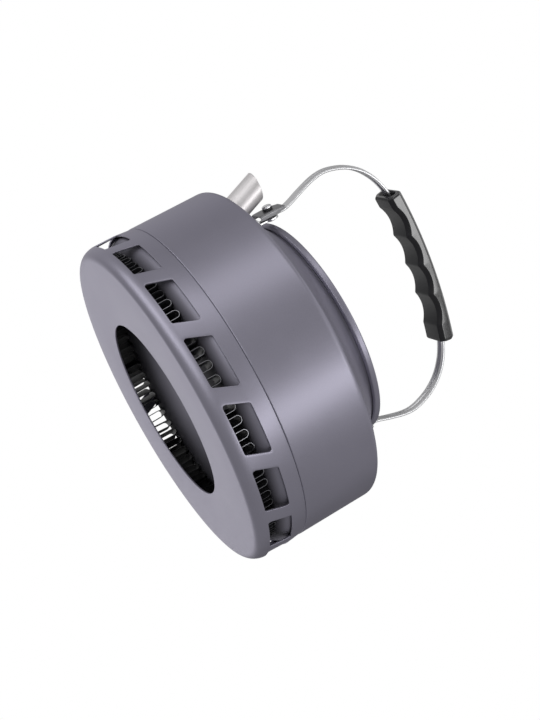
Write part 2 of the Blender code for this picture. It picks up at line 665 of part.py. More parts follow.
def strip_widths(height):
    """Half width of the strip: round at the end, narrow in the clasp, full width above it."""
    end = STRIP_END_WIDTH / 2
    rounded = np.sqrt(np.clip(end**2 - np.minimum(height, 0.0)**2, (0.25 * end)**2, None))
    grow = np.clip((height - CLASP_TOP) / (0.3 * BAIL_RISE), 0.0, 1.0)
    full = end + (STRIP_WIDTH / 2 - end) * grow**2 * (3 - 2 * grow)
    return np.minimum(rounded, full)


def bail_strip(parent):
    """The flat strip with its pressed rib, standing proud outside and hollow inside."""
    line, outward = strip_line()
    half_width = strip_widths(line[:, 1])
    grow = np.clip((line[:, 1] - 0.25 * BAIL_RISE) / (0.12 * BAIL_RISE), 0.0, 1.0)
    rib = RIB_HEIGHT * grow**2 * (3 - 2 * grow)
    across = np.stack([-half_width, np.full_like(half_width, -RIB_WIDTH / 2),
                       np.full_like(half_width, -RIB_WIDTH / 4)], axis=1)
    across[:, 1] = np.maximum(across[:, 1], 0.6 * across[:, 0])
    across[:, 2] = np.maximum(across[:, 2], 0.3 * across[:, 0])
    across = np.hstack([across, -across[:, ::-1]])
    lift = np.stack([0 * rib, 0 * rib, rib, rib, 0 * rib, 0 * rib], axis=1)
    rings = []
    for side in (1, -1):
        offset = side * STRIP_SHEET / 2 + lift
        x = line[:, :1] - outward[:, :1] * offset
        z = line[:, 1:] - outward[:, 1:] * offset
        rings.append(np.stack([x, across, z], axis=-1)[:, ::side])
    rings = np.concatenate(rings, axis=1)
    strip = loft("bail_strip", rings, STAINLESS, parent)
    for side in (-1, 1):
        boolean(strip, cylinder("strip_hole", HOLE_RADIUS, 6 * STRIP_SHEET, along_x(side * LEG_X)))
        strip.modifiers[-1].object.parent = parent
    return strip


def clasp(name, turn, parent):
    """A channel: an outer web with two side flanges, drawn in to a mouth where the strip leaves."""
    web = CLASP_X
    half = CLASP_HALF_WIDTH
    deep = CLASP_FLANGE
    mouth = STRIP_END_WIDTH / 2 + GAP + CLASP_SHEET
    mouth_web = LEG_X + STRIP_SHEET / 2 + GAP + CLASP_SHEET + GAP
    lean = web - mouth_web
    levels = [
        (-0.92 * CLASP_TOP, 0.26 * half, web, 0.4 * CLASP_SHEET),
        (-0.84 * CLASP_TOP, 0.62 * half, web, 0.5 * CLASP_SHEET),
        (-0.67 * CLASP_TOP, 0.96 * half, web, 0.33 * deep),
        (-0.38 * CLASP_TOP, half, web, 0.72 * deep),
        (-0.10 * CLASP_TOP, half, web, deep),
        (0.34 * CLASP_TOP, 0.97 * half, web, 0.95 * deep),
        (0.58 * CLASP_TOP, 0.90 * half, web - 0.1 * lean, 0.88 * deep),
        (0.80 * CLASP_TOP, 0.5 * (0.9 * half + mouth), web - 0.6 * lean, 0.70 * deep),
        (CLASP_TOP, mouth, web - lean, 0.50 * deep),
    ]
    bend = 0.8 * CLASP_SHEET
    rows = []
    for z, width, face, flange in levels:
        turn_in = min(bend, 0.5 * flange, 0.5 * width)
        rows.append([
            (face - flange, -width, z),
            (face - turn_in, -width, z),
            (face - 0.3 * turn_in, -width + 0.3 * turn_in, z),
            (face, -width + turn_in, z),
            (face, width - turn_in, z),
            (face - 0.3 * turn_in, width - 0.3 * turn_in, z),
            (face - turn_in, width, z),
            (face - flange, width, z),
        ])
    part = loft(name, rows, STAINLESS, parent, ring_closed=False)
    part.rotation_euler = (0.0, 0.0, turn)
    sheet = part.modifiers.new("sheet", "SOLIDIFY")
    sheet.thickness = CLASP_SHEET
    sheet.offset = -1.0
    hole = cylinder("clasp_hole", HOLE_RADIUS, 6 * CLASP_SHEET, along_x(cos(turn) * CLASP_X))
    hole.parent = parent
    boolean(part, hole)
    return part


def hinge_pin(name, turn, parent):
    """A pin along X with a domed head outside and a spread tail inside the ear."""
    tail_end = TAIL_X + PIN_TAIL
    tail_radius = PIN_RADIUS + PIN_TAIL_SPREAD
    dome = arc((0.0, HEAD_X + 0.35 * PIN_HEAD_HEIGHT), (PIN_HEAD_RADIUS, 0.65 * PIN_HEAD_HEIGHT), 90, 0, 4)
    profile = [
        *dome,
        (PIN_HEAD_RADIUS, HEAD_X),
        (PIN_RADIUS, HEAD_X),
        (PIN_RADIUS, tail_end),
        (tail_radius, tail_end),
        (tail_radius * 0.85, TAIL_X),
        (0.0, TAIL_X),
    ]
    pin = turned(name, profile, SMALL_STEPS, STAINLESS, parent)
    pin.rotation_euler = (0.0, pi / 2 if turn == 0.0 else -pi / 2, 0.0)
    return pin


def hinge_ring(name, start, length, radius, turn, shader, parent):
    """A washer or spacer on the pin, from start outwards."""
    profile = [
        (HOLE_RADIUS, start + length),
        (radius, start + length),
        (radius, start),
        (HOLE_RADIUS, start),
    ]
    ring = turned(name, profile, SMALL_STEPS, shader, parent, closed=True)
    ring.rotation_euler = (0.0, pi / 2 if turn == 0.0 else -pi / 2, 0.0)
    return ring


def groove_depths(x):
    """Depth of the finger grooves under the grip at x, with sharp crests between them."""
    share = (x - GROOVE_CENTRE) / GROOVE_PITCH + GROOVE_COUNT / 2
    inside = (share > 0.0) & (share < GROOVE_COUNT)
    across = 2 * (share - np.floor(share)) - 1
    return np.where(inside, GROOVE_DEPTH * (1 - across**2), 0.0)


def arch_point(x):
    """A point of the arch and its upward normal, in the bail's plane."""
    slope = -x / BAIL_ARCH_RADIUS
    size = sqrt(1 + slope**2)
    return Vector((x, 0.0, BAIL_RISE - x**2 / (2 * BAIL_ARCH_RADIUS))), Vector((-slope / size, 0.0, 1 / size))


def grip(parent):
    """An eight-sided bar along the arch, with finger grooves below and a bore for the strip."""
    half_length = GRIP_LENGTH / 2
    first_groove = GROOVE_CENTRE - GROOVE_COUNT / 2 * GROOVE_PITCH
    per_groove = 5
    stations = [first_groove + GROOVE_PITCH * k / per_groove for k in range(GROOVE_COUNT * per_groove + 1)]
    stations += [-half_length, -half_length + 0.4 * GRIP_END_ROUND, -half_length + GRIP_END_ROUND]
    stations += [half_length, half_length - 0.4 * GRIP_END_ROUND, half_length - GRIP_END_ROUND]
    stations = sorted(x for x in stations if abs(x) <= half_length)
    rings = []
    for x in stations:
        middle, up = arch_point(x)
        from_end = min(1.0, (half_length - abs(x)) / GRIP_END_ROUND)
        shrink = 0.5 * GRIP_CHAMFER * (1 - sqrt(1 - (1 - from_end)**2))
        top = GRIP_THICKNESS / 2 - shrink
        bottom = -GRIP_THICKNESS / 2 + shrink + float(groove_depths(np.array(x)))
        side = GRIP_WIDTH / 2 - shrink
        cut = GRIP_CHAMFER
        outline = [
            (side, top - cut), (side - cut, top), (cut - side, top), (-side, top - cut),
            (-side, bottom + cut), (cut - side, bottom), (side - cut, bottom), (side, bottom + cut),
        ]
        rings.append([middle + up * h + Vector((0.0, y, 0.0)) for y, h in outline])
    bar = loft("grip", rings, BLACK_PLASTIC, parent)

    bore_half = STRIP_WIDTH / 2 + GAP
    bore_low = -STRIP_SHEET / 2 - GAP
    bore_high = STRIP_SHEET / 2 + RIB_HEIGHT + GAP
    bore = []
    for x in np.linspace(-half_length - CUT_OVERRUN, half_length + CUT_OVERRUN, 15):
        middle, up = arch_point(x)
        outline = [
            (bore_half, bore_high), (-bore_half, bore_high), (-bore_half, bore_low), (bore_half, bore_low),
        ]
        bore.append([middle + up * h + Vector((0.0, y, 0.0)) for y, h in outline])
    boolean(bar, make_cutter(loft("strip_bore", bore, BLACK_PLASTIC, parent)))

    for side in (-1, 1):
        mouth = []
        for depth, margin in ((GRIP_MOUTH_DEPTH, 0.3), (0.4 * GRIP_MOUTH_DEPTH, 0.8), (-CUT_OVERRUN, 1.3)):
            middle, up = arch_point(side * (half_length - depth))
            wide = bore_half + margin * GRIP_MOUTH_MARGIN
            tall = margin * 0.5 * GRIP_MOUTH_MARGIN
            outline = []
            for turn in np.linspace(0, 2 * pi, 16, endpoint=False):
                y = wide * cos(turn)
                h = (bore_high if sin(turn) > 0 else -bore_low) * sin(turn) + tall * sin(turn)
                outline.append(middle + up * h + Vector((0.0, y, 0.0)))
            mouth.append(outline)
        boolean(bar, make_cutter(loft("grip_mouth", mouth, BLACK_PLASTIC, parent)))
    return bar


def bail():
    """Everything that folds with the bail, on an empty that sits on the hinge axis."""
    axis = bpy.data.objects.new("bail_axis", None)
    PARTS.objects.link(axis)
    axis.location = (0.0, 0.0, PIVOT_Z)
    axis.rotation_euler = (BAIL_LEAN, 0.0, 0.0)
    bail_strip(axis)
    grip(axis)
    for side, turn in (("front", 0.0), ("rear", pi)):
        clasp(f"{side}_clasp", turn, axis)
        hinge_pin(f"{side}_hinge_pin", turn, axis)
        hinge_ring(f"{side}_spacer", SPACER_X, SPACER_LENGTH, WASHER_RADIUS, turn, STAINLESS, axis)
        hinge_ring(f"{side}_head_washer", WASHER_X, WASHER_SHEET, WASHER_RADIUS, turn, BLACK_PLASTIC, axis)


def ears():
    """Both ears with their rivets."""
    for side, turn in (("front", 0.0), ("rear", pi)):
        ear(f"{side}_ear", turn)
        ear_rivet(f"{side}_ear_rivet_left", turn, 1)
        ear_rivet(f"{side}_ear_rivet_right", turn, -1)


kettle_body()
heat_exchanger_skirt()
heat_exchanger_fins()
spout_tube()
lid_parts()
ears()
bail()
bpy.context.view_layer.update()
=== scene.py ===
"""Camping kettle with a heat exchanger base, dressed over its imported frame.

The frame is in metres. Shapes below are worked out in millimetres in the same axes: +X towards the
spout, +Z up, the base's underside at zero.
"""
from math import cos, hypot, pi, radians, sin, tan

import bmesh
import bpy
import numpy as np
from mathutils import Matrix, Vector


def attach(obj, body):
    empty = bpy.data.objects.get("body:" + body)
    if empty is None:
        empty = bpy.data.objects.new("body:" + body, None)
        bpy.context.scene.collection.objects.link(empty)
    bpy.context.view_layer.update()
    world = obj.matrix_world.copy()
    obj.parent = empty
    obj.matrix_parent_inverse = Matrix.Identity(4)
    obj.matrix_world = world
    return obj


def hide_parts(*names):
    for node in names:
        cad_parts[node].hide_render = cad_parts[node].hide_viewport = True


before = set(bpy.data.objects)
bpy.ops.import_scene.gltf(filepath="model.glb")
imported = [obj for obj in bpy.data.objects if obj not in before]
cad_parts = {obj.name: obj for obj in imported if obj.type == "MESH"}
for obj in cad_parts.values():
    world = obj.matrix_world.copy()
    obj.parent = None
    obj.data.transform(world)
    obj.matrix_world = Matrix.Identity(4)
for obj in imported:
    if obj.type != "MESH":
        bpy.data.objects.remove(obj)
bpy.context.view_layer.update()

# Pot
# A deep-drawn aluminium pot with a hollow shoulder that sweeps up to a short upright neck. It is hard
# anodised to a satin violet grey inside and out, and outside, below and near the fins, painted shade
# darkens it.
POT_RADIUS = 92.5
LAP_RADIUS = 90.9            # lower wall, inside the skirt's top edge
POT_SHEET = 1.2
POT_BOTTOM = 14.9
LAP_TOP = 29.0
SHOULDER_CORNER = 73.465     # where wall and shoulder would meet without the fillet
SHOULDER_RISE = 0.2927       # the shoulder's slope there
SHOULDER_SWEEP = 0.00846     # and how the slope grows inwards, as half of its change per millimetre
SHOULDER_FILLET = 4.0
NECK_RADIUS = 61.2
NECK_FILLET = 2.0
NECK_TOP = 94.296
POT_TURNS = 256


def shoulder_height(radius):
    """Height of the shoulder's outside: a hollow parabola that rises inwards from the corner."""
    inwards = POT_RADIUS - radius
    return SHOULDER_CORNER + SHOULDER_RISE * inwards + SHOULDER_SWEEP * inwards**2


def shoulder_slope(radius):
    """Angle of the shoulder at a radius, from the parabola's derivative."""
    return np.arctan(SHOULDER_RISE + 2 * SHOULDER_SWEEP * (POT_RADIUS - radius))


def shoulder_line(depth):
    """Profile of the shoulder from wall to neck, moved into the sheet along its normals by a depth."""
    radius = np.linspace(POT_RADIUS - 3.5, NECK_RADIUS + NECK_FILLET, 14)
    slope = shoulder_slope(radius)
    height = shoulder_height(radius) - depth * np.cos(slope)
    return np.stack([radius - depth * np.sin(slope), height, 0 * radius], axis=-1).tolist()


def rounded(corners, steps=5):
    """Profile through (radius, height, rounding) corners: each corner is replaced by the circular arc
    that touches both of its sides, drawn as a spherical blend between the two touching points."""
    points = np.array([corner[:2] for corner in corners], dtype=float)
    share = np.linspace(0.0, 1.0, steps + 1)[:, None]
    line = [points[:1]]
    for i in range(1, len(points) - 1):
        radius = corners[i][2]
        if radius == 0:
            line.append(points[i:i + 1])
            continue
        back = points[i - 1] - points[i]
        on = points[i + 1] - points[i]
        back /= np.linalg.norm(back)
        on /= np.linalg.norm(on)
        half = np.arccos(np.clip(back @ on, -1.0, 1.0)) / 2
        middle = (back + on) / np.linalg.norm(back + on) * radius / np.sin(half)
        first = back * radius / np.tan(half) - middle
        last = on * radius / np.tan(half) - middle
        sweep = pi - 2 * half
        blend = (np.sin((1 - share) * sweep) * first + np.sin(share * sweep) * last) / np.sin(sweep)
        line.append(points[i] + middle + blend)
    line.append(points[-1:])
    return np.vstack(line)


def surface(grid, rows_closed=False, columns_closed=False):
    """Points and quads of a grid: every point spans a quad with its neighbours in the next row and
    column, and a closed direction joins its last line to its first."""
    index = np.arange(grid.shape[0] * grid.shape[1]).reshape(grid.shape[:2])
    if rows_closed:
        index = np.vstack([index, index[:1]])
    if columns_closed:
        index = np.hstack([index, index[:, :1]])
    quads = np.stack([index[:-1, :-1], index[:-1, 1:], index[1:, 1:], index[1:, :-1]], axis=-1)
    return grid.reshape(-1, 3), quads.reshape(-1, 4)


def turned(profile, turns=POT_TURNS, closed=False, shift=0.0):
    """Surface of revolution: each (radius, height) of the profile goes round Z in equal turns."""
    turn = shift + np.linspace(0.0, 2 * pi, turns, endpoint=False)[None, :]
    radius = profile[:, :1]
    height = profile[:, 1:]
    grid = np.stack([radius * np.cos(turn), radius * np.sin(turn), height + 0 * turn], axis=-1)
    return surface(grid, rows_closed=closed, columns_closed=True)


def crease(mesh, angle=40.0):
    """Smooth shading with the edges sharper than the angle kept."""
    mesh.shade_smooth()
    mesh.set_sharp_from_angle(angle=radians(angle))


def linked(name, data):
    """A new object in the scene that shows a mesh, a lamp or a camera."""
    made = bpy.data.objects.new(name, data)
    bpy.context.scene.collection.objects.link(made)
    return made


def make_piece(name, surfaces, finish, weld=0.004, angle=40.0, capped=False):
    """One object from surfaces in millimetres: joined where their points meet, open ends capped where
    asked, faces outwards."""
    first = np.cumsum([0] + [len(xyz) for xyz, _ in surfaces])
    points = np.concatenate([xyz for xyz, _ in surfaces])
    quads = np.concatenate([faces + start for (_, faces), start in zip(surfaces, first)])
    mesh = bpy.data.meshes.new(name)
    mesh.from_pydata(points * 0.001, [], quads.tolist())
    shell = bmesh.new()
    shell.from_mesh(mesh)
    bmesh.ops.remove_doubles(shell, verts=shell.verts, dist=weld * 0.001)
    bmesh.ops.dissolve_degenerate(shell, edges=shell.edges, dist=weld * 0.0001)
    if capped:
        bmesh.ops.holes_fill(shell, edges=[edge for edge in shell.edges if edge.is_boundary], sides=0)
    bmesh.ops.recalc_face_normals(shell, faces=shell.faces)
    shell.to_mesh(mesh)
    shell.free()
    crease(mesh, angle)
    mesh.materials.append(finish)
    return linked(name, mesh)


def settle(made):
    """Turn an object's modifiers into its mesh."""
    depsgraph = bpy.context.evaluated_depsgraph_get()
    mesh = bpy.data.meshes.new_from_object(made.evaluated_get(depsgraph))
    made.modifiers.clear()
    made.data = mesh
    crease(mesh)


def combined(made, other, operation):
    """Join another object to a piece, or cut it out of it, and remove that object."""
    change = made.modifiers.new("combined", "BOOLEAN")
    change.operation = operation
    change.solver = "EXACT"
    change.object = other
    settle(made)
    bpy.data.objects.remove(other, do_unlink=True)


def drilled(made, start, end, radius, turns=32):
    """Cut a round hole through an object along the line from start to end, in millimetres."""
    axis = np.array(end, dtype=float) - start
    length = np.linalg.norm(axis)
    upright = np.array(Vector(axis).to_track_quat("Z", "Y").to_matrix())
    rod, quads = turned(np.array([(0.0, 0.0), (radius, 0.0), (radius, length), (0.0, length)]), turns)
    drill = make_piece("drill", [(rod @ upright.T + start, quads)], made.data.materials[0])
    combined(made, drill, "DIFFERENCE")


def face_vectors(made, which):
    """The normals or the centres of a piece's faces, as one array."""
    values = np.empty(len(made.data.polygons) * 3)
    made.data.polygons.foreach_get(which, values)
    return values.reshape(-1, 3)


def second_finish(made, finish, chosen):
    """Give the chosen faces of a piece a second material."""
    made.data.materials.append(finish)
    made.data.polygons.foreach_set("material_index", chosen.astype(np.int32))


def feed(tree, made, inputs):
    """Set a node's inputs, each to a value or linked to a socket or to a node's first output."""
    for key, value in inputs.items():
        if isinstance(value, bpy.types.Node):
            value = value.outputs[0]
        if isinstance(value, bpy.types.NodeSocket):
            tree.links.new(value, made.inputs[key])
        else:
            made.inputs[key].default_value = value


def node(tree, kind, inputs=None, **settings):
    """A shader node with its settings and its inputs."""
    made = tree.nodes.new("ShaderNode" + kind)
    for key, value in settings.items():
        setattr(made, key, value)
    feed(tree, made, inputs or {})
    return made


def maths(tree, operation, *values, kind="Math", **settings):
    """A Math node, or a Vector Math node, on one to three values."""
    return node(tree, kind, dict(enumerate(values)), operation=operation, **settings)


def ramp(tree, value, start, end, low, high, form="SMOOTHSTEP"):
    """A value from start to end becomes one from low to high, and stays there beyond."""
    return node(tree, "MapRange", {"Value": value, "From Min": start, "From Max": end,
                                   "To Min": low, "To Max": high}, interpolation_type=form)


def surface_grain():
    """Node group for a fine grain: small noise moves between two colours and two roughnesses, and a slow
    noise shades whole areas a little. Grain is the noise's size in metres along three axes turned by
    Turn, so one long axis makes a brushed metal."""
    tree = bpy.data.node_groups.new("surface_grain", "ShaderNodeTree")
    for label, kind, value in (
            ("Dark", "Color", (0.2, 0.2, 0.2, 1.0)), ("Light", "Color", (0.3, 0.3, 0.3, 1.0)),
            ("Grain", "Vector", (0.0005, 0.0005, 0.0005)), ("Turn", "Vector", (0.0, 0.0, 0.0)),
            ("Cloud", "Float", 0.3), ("Rough Low", "Float", 0.3), ("Rough High", "Float", 0.4)):
        socket = tree.interface.new_socket(label, in_out="INPUT", socket_type="NodeSocket" + kind)
        socket.default_value = value
    for label, kind in (("Colour", "Color"), ("Roughness", "Float"), ("Height", "Float")):
        tree.interface.new_socket(label, in_out="OUTPUT", socket_type="NodeSocket" + kind)
    given = tree.nodes.new("NodeGroupInput").outputs
    place = node(tree, "TexCoord").outputs["Object"]
    stretch = node(tree, "Mapping", {"Vector": place, "Rotation": given["Turn"],
                                     "Scale": given["Grain"]}, vector_type="TEXTURE")
    fine = node(tree, "TexNoise", {"Vector": stretch, "Scale": 1.0, "Detail": 3.0, "Roughness": 0.6})
    slow = node(tree, "TexNoise", {"Vector": place, "Scale": 45.0, "Detail": 2.0})
    mixed = node(tree, "Mix", {"Factor": given["Cloud"], "A": fine, "B": slow}, data_type="FLOAT")
    colour = node(tree, "Mix", {"Factor": mixed, 6: given["Dark"], 7: given["Light"]},
                  data_type="RGBA")
    rough = ramp(tree, mixed, 0.3, 0.7, given["Rough Low"], given["Rough High"], "LINEAR")
    feed(tree, tree.nodes.new("NodeGroupOutput"),
         {"Colour": colour.outputs[2], "Roughness": rough, "Height": fine})
    return tree


SURFACE_GRAIN = surface_grain()


def main_shader(finish):
    """A material's Principled shader."""
    return finish.node_tree.nodes["Principled BSDF"]


def grained(name, dark, light, rough, size=(0.0005, 0.0005, 0.0005), turn=(0.0, 0.0, 0.0), cloud=0.3,
            metallic=1.0, gloss=0.5, bump=0.00001):
    """A finish, metal unless metallic says otherwise: the grain group feeds its colour, its roughness
    and a very fine bump."""
    finish = bpy.data.materials.new(name)
    finish.use_nodes = True
    tree = finish.node_tree
    grain = node(tree, "Group", {
        "Dark": (*dark, 1.0), "Light": (*light, 1.0), "Grain": size, "Turn": turn, "Cloud": cloud,
        "Rough Low": rough[0], "Rough High": rough[1]}, node_tree=SURFACE_GRAIN)
    relief = node(tree, "Bump", {"Height": grain.outputs["Height"], "Strength": 0.3, "Distance": bump})
    feed(tree, main_shader(finish), {
        "Base Color": grain.outputs["Colour"], "Roughness": grain.outputs["Roughness"],
        "Normal": relief, "Metallic": metallic, "Specular IOR Level": gloss})
    return finish


def anodised(name):
    """Satin violet grey hard anodising."""
    finish = grained(name, (0.202, 0.194, 0.239), (0.264, 0.255, 0.310), (0.36, 0.44), metallic=0.8)
    main_shader(finish).inputs["Specular Tint"].default_value = (0.90, 0.88, 0.95, 1.0)
    return finish


def with_painted_shade(finish, low, high):
    """Painted shade over a finish: strong below a height in metres and near the fins, where it darkens
    the colour, hides the metal shine and dulls the surface, and weaker towards the middle of the bottom."""
    tree = finish.node_tree
    shader = main_shader(finish)
    colour = shader.inputs["Base Color"].links[0].from_socket
    rough = shader.inputs["Roughness"].links[0].from_socket
    metallic = shader.inputs["Metallic"].default_value
    place = node(tree, "TexCoord").outputs["Object"]
    height = node(tree, "SeparateXYZ", {0: place}).outputs["Z"]
    flat = maths(tree, "MULTIPLY", place, (1.0, 1.0, 0.0), kind="VectorMath")
    distance = maths(tree, "LENGTH", flat, kind="VectorMath").outputs["Value"]
    # Painted shade: darker colour, less metal shine and a duller surface below the height and towards
    # the fins.
    painted_shade = maths(tree, "MULTIPLY", ramp(tree, height, low, high, 1.0, 0.0),
                 ramp(tree, distance, 0.010, 0.062, 0.25, 1.0, "LINEAR"))
    kept = maths(tree, "MULTIPLY_ADD", painted_shade, -0.8, 1.0)
    shaded = maths(tree, "MULTIPLY", colour, kept, kind="VectorMath")
    shine = maths(tree, "MULTIPLY_ADD", painted_shade, -metallic, metallic)
    dull = maths(tree, "MULTIPLY_ADD", painted_shade, 0.5, rough)
    feed(tree, shader, {"Base Color": shaded, "Metallic": shine, "Roughness": dull})
    return finish


ANODISED = anodised("satin_anodised_aluminium")
# The pot's outside takes painted shade below and near the fins; its inside faces keep the plain
# anodising.
POT_FINISH = with_painted_shade(anodised("shade_painted_anodised_aluminium"), 0.0130, 0.0225)

inner_lap = LAP_RADIUS - POT_SHEET
inner_wall = POT_RADIUS - POT_SHEET
inner_neck = NECK_RADIUS - POT_SHEET
neck_foot = float(shoulder_height(NECK_RADIUS))
pot_profile = rounded([
    (0.0, POT_BOTTOM, 0.0),
    (LAP_RADIUS, POT_BOTTOM, 7.7),
    (LAP_RADIUS, LAP_TOP, 0.25),
    (POT_RADIUS, LAP_TOP, 0.6),
    (POT_RADIUS, SHOULDER_CORNER, SHOULDER_FILLET),
    *shoulder_line(0.0),
    (NECK_RADIUS, neck_foot, NECK_FILLET),
    (NECK_RADIUS, NECK_TOP, 0.35),
    (inner_neck, NECK_TOP, 0.35),
    (inner_neck, neck_foot - 0.6, NECK_FILLET + POT_SHEET),
    *shoulder_line(POT_SHEET)[::-1],
    (inner_wall, SHOULDER_CORNER - 1.0, SHOULDER_FILLET - POT_SHEET),
    (inner_wall, LAP_TOP + POT_SHEET, 0.4),
    (inner_lap, LAP_TOP + POT_SHEET, 0.4),
    (inner_lap, POT_BOTTOM + POT_SHEET, 6.5),
    (0.0, POT_BOTTOM + POT_SHEET, 0.0),
], steps=8)
pot = make_piece("drawn_pot", [turned(pot_profile)], POT_FINISH)

SPOUT_LEAN = radians(21.8)
SPOUT_RADIUS = 7.3
SPOUT_AXIS = np.array([sin(SPOUT_LEAN), 0.0, cos(SPOUT_LEAN)])
SPOUT_ROOT = np.array([79.4, 0.0, 80.605])   # a point on its axis, just outside the shoulder
SPOUT_FIT = 0.15             # between the tube and its hole
drilled(pot, SPOUT_ROOT - 14.0 * SPOUT_AXIS, SPOUT_ROOT + 14.0 * SPOUT_AXIS,
        SPOUT_RADIUS + SPOUT_FIT, 64)
POT_MIDDLE = (0.0, 0.0, 0.045)         # a point inside, in metres, that the faces without the painted shade look towards
from_middle = face_vectors(pot, "center") - POT_MIDDLE
second_finish(pot, ANODISED, (from_middle * face_vectors(pot, "normal")).sum(axis=1) < 0)
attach(pot, "kettle")
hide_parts("kettle_body")

# Spout
# A short piece of thin stainless tube pushed into the shoulder, its mouth cut level and its lip
# rounded. The tube is brushed along its length.
SPOUT_WALL = 0.8
SPOUT_CUT = radians(33.3)    # slope of the tube's lower end
SPOUT_INSIDE = 4.3           # how deep that end lies below the root point, square to its slope
SPOUT_RISE = 14.4            # of the mouth over the root point
SPOUT_MOUTH = SPOUT_ROOT + SPOUT_AXIS * (SPOUT_RISE / cos(SPOUT_LEAN))


def pouring_tube():
    """Tube about the spout's axis: a ring at each reach, every point slid along the axis until it lies
    on that ring's plane, which turns from the sloping lower end to level at the mouth."""
    slope = np.array([sin(SPOUT_CUT), 0.0, cos(SPOUT_CUT)])
    root = SPOUT_ROOT - slope * SPOUT_INSIDE
    lip = np.linspace(0.0, pi, 13)
    middle = SPOUT_RADIUS - SPOUT_WALL / 2
    outside = np.array([(SPOUT_RADIUS, 0.0, share) for share in np.linspace(0.0, 0.96, 12)])
    over = np.stack([middle + SPOUT_WALL / 2 * np.cos(lip), SPOUT_WALL / 2 * (np.sin(lip) - 1),
                     np.ones_like(lip)], axis=-1)
    inside = outside[::-1] - (SPOUT_WALL, 0.0, 0.0)
    rows = np.vstack([outside, over, inside])
    turn = np.linspace(0.0, 2 * pi, 96, endpoint=False)[None, :, None]
    across = np.array([0.0, 1.0, 0.0])
    forward = np.cross(across, SPOUT_AXIS)
    start = SPOUT_MOUTH + (forward * np.cos(turn) + across * np.sin(turn)) * rows[:, None, :1]
    up = np.array([0.0, 0.0, 1.0])
    to_root = ((root - start) @ slope) / (SPOUT_AXIS @ slope)
    to_mouth = ((SPOUT_MOUTH - start) @ up + rows[:, None, 1]) / (SPOUT_AXIS @ up)
    travel = to_root + (to_mouth - to_root) * rows[:, None, 2]
    return surface(start + SPOUT_AXIS * travel[..., None], rows_closed=True, columns_closed=True)


SPOUT_STEEL = grained("brushed_spout_steel", (0.52, 0.50, 0.50), (0.74, 0.72, 0.73), (0.42, 0.50),
                      size=(0.0004, 0.0004, 0.012), turn=(0.0, SPOUT_LEAN, 0.0), cloud=0.2,
                      bump=0.000004)
spout = make_piece("pouring_tube", [pouring_tube()], SPOUT_STEEL)
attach(spout, "kettle")
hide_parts("spout_tube")

# Fin ring
# One thin aluminium strip folded into 72 round-topped loops and bent into a ring, brazed between the
# pot's bottom and the base ring. Its faces carry painted shade, near black, for the dark inside of the
# skirt; its outer cut edges keep a metal tone and catch the light in the windows.
FIN_INNER = 72.0
FIN_OUTER = 86.0
FIN_SHEET = 0.24
FIN_COUNT = 72
FIN_LOW = 1.5
FIN_HIGH = 14.6
FIN_FIRST = radians(2.7)
FIN_PITCH = 2 * pi / FIN_COUNT
FIN_LEG = 0.58 * FIN_PITCH / 2
FIN_LEAN = 0.35              # how far a loop's top may lean to one side
FIN_SHIFT = 0.12             # how far its foot may stand off its place
FIN_SKEW = 1.0               # and how far its inner end may be moved round


def fin_strip():
    """Corrugated band: a round-topped wave runs round the ring in turn and height, a half sheet is added
    to both sides along the wave's normal, and the four lines are carried from inner to outer radius.
    Every loop leans a little and is skewed a little between the two radii."""
    middle = (FIN_INNER + FIN_OUTER) / 2
    half = FIN_LEG * middle
    pitch = FIN_PITCH * middle
    left = rounded([(-pitch / 2, FIN_LOW, 0.0), (-half, FIN_LOW, 0.6), (-half, FIN_HIGH - half, 0.0)], 4)
    crown = np.linspace(pi, 0.0, 11)[1:-1]
    top = np.stack([half * np.cos(crown), FIN_HIGH - half + half * np.sin(crown)], axis=-1)
    right = left[::-1] * (-1.0, 1.0)
    loop = np.vstack([left, top, right[:-1]])
    rise = (loop[:, 1] - FIN_LOW) / (FIN_HIGH - FIN_LOW)
    draw = np.random.default_rng(5)
    lean = FIN_LEAN * draw.uniform(-1.0, 1.0, (FIN_COUNT, 1))
    shift = FIN_SHIFT * draw.uniform(-1.0, 1.0, (FIN_COUNT, 1))
    skew = FIN_SKEW * draw.uniform(-1.0, 1.0, (FIN_COUNT, 1)) * np.clip(rise / 0.12, 0.0, 1.0)
    number = np.arange(FIN_COUNT)[:, None]
    along = number * pitch + loop[None, :, 0] + (lean * rise + shift * (rise > 0.02))
    path = np.stack([along, np.broadcast_to(loop[:, 1], along.shape)], axis=-1).reshape(-1, 2)
    around = np.array([FIN_COUNT * pitch, 0.0])
    before = np.vstack([path[-1:] - around, path[:-1]])
    after = np.vstack([path[1:], path[:1] + around])
    tangent = after - before
    tangent /= np.linalg.norm(tangent, axis=1)[:, None]
    normal = np.stack([-tangent[:, 1], tangent[:, 0]], axis=-1)
    lines = []
    for radius, side in ((FIN_INNER, 0.5), (FIN_OUTER, 0.5), (FIN_OUTER, -0.5), (FIN_INNER, -0.5)):
        turn = FIN_FIRST + path[:, 0] / middle + side * FIN_SHEET * normal[:, 0] / radius
        if radius == FIN_INNER:
            turn = turn + skew.ravel() / radius
        height = path[:, 1] + side * FIN_SHEET * normal[:, 1]
        lines.append(np.stack([radius * np.cos(turn), radius * np.sin(turn), height], axis=-1))
    return surface(np.stack(lines, axis=1), rows_closed=True, columns_closed=True)


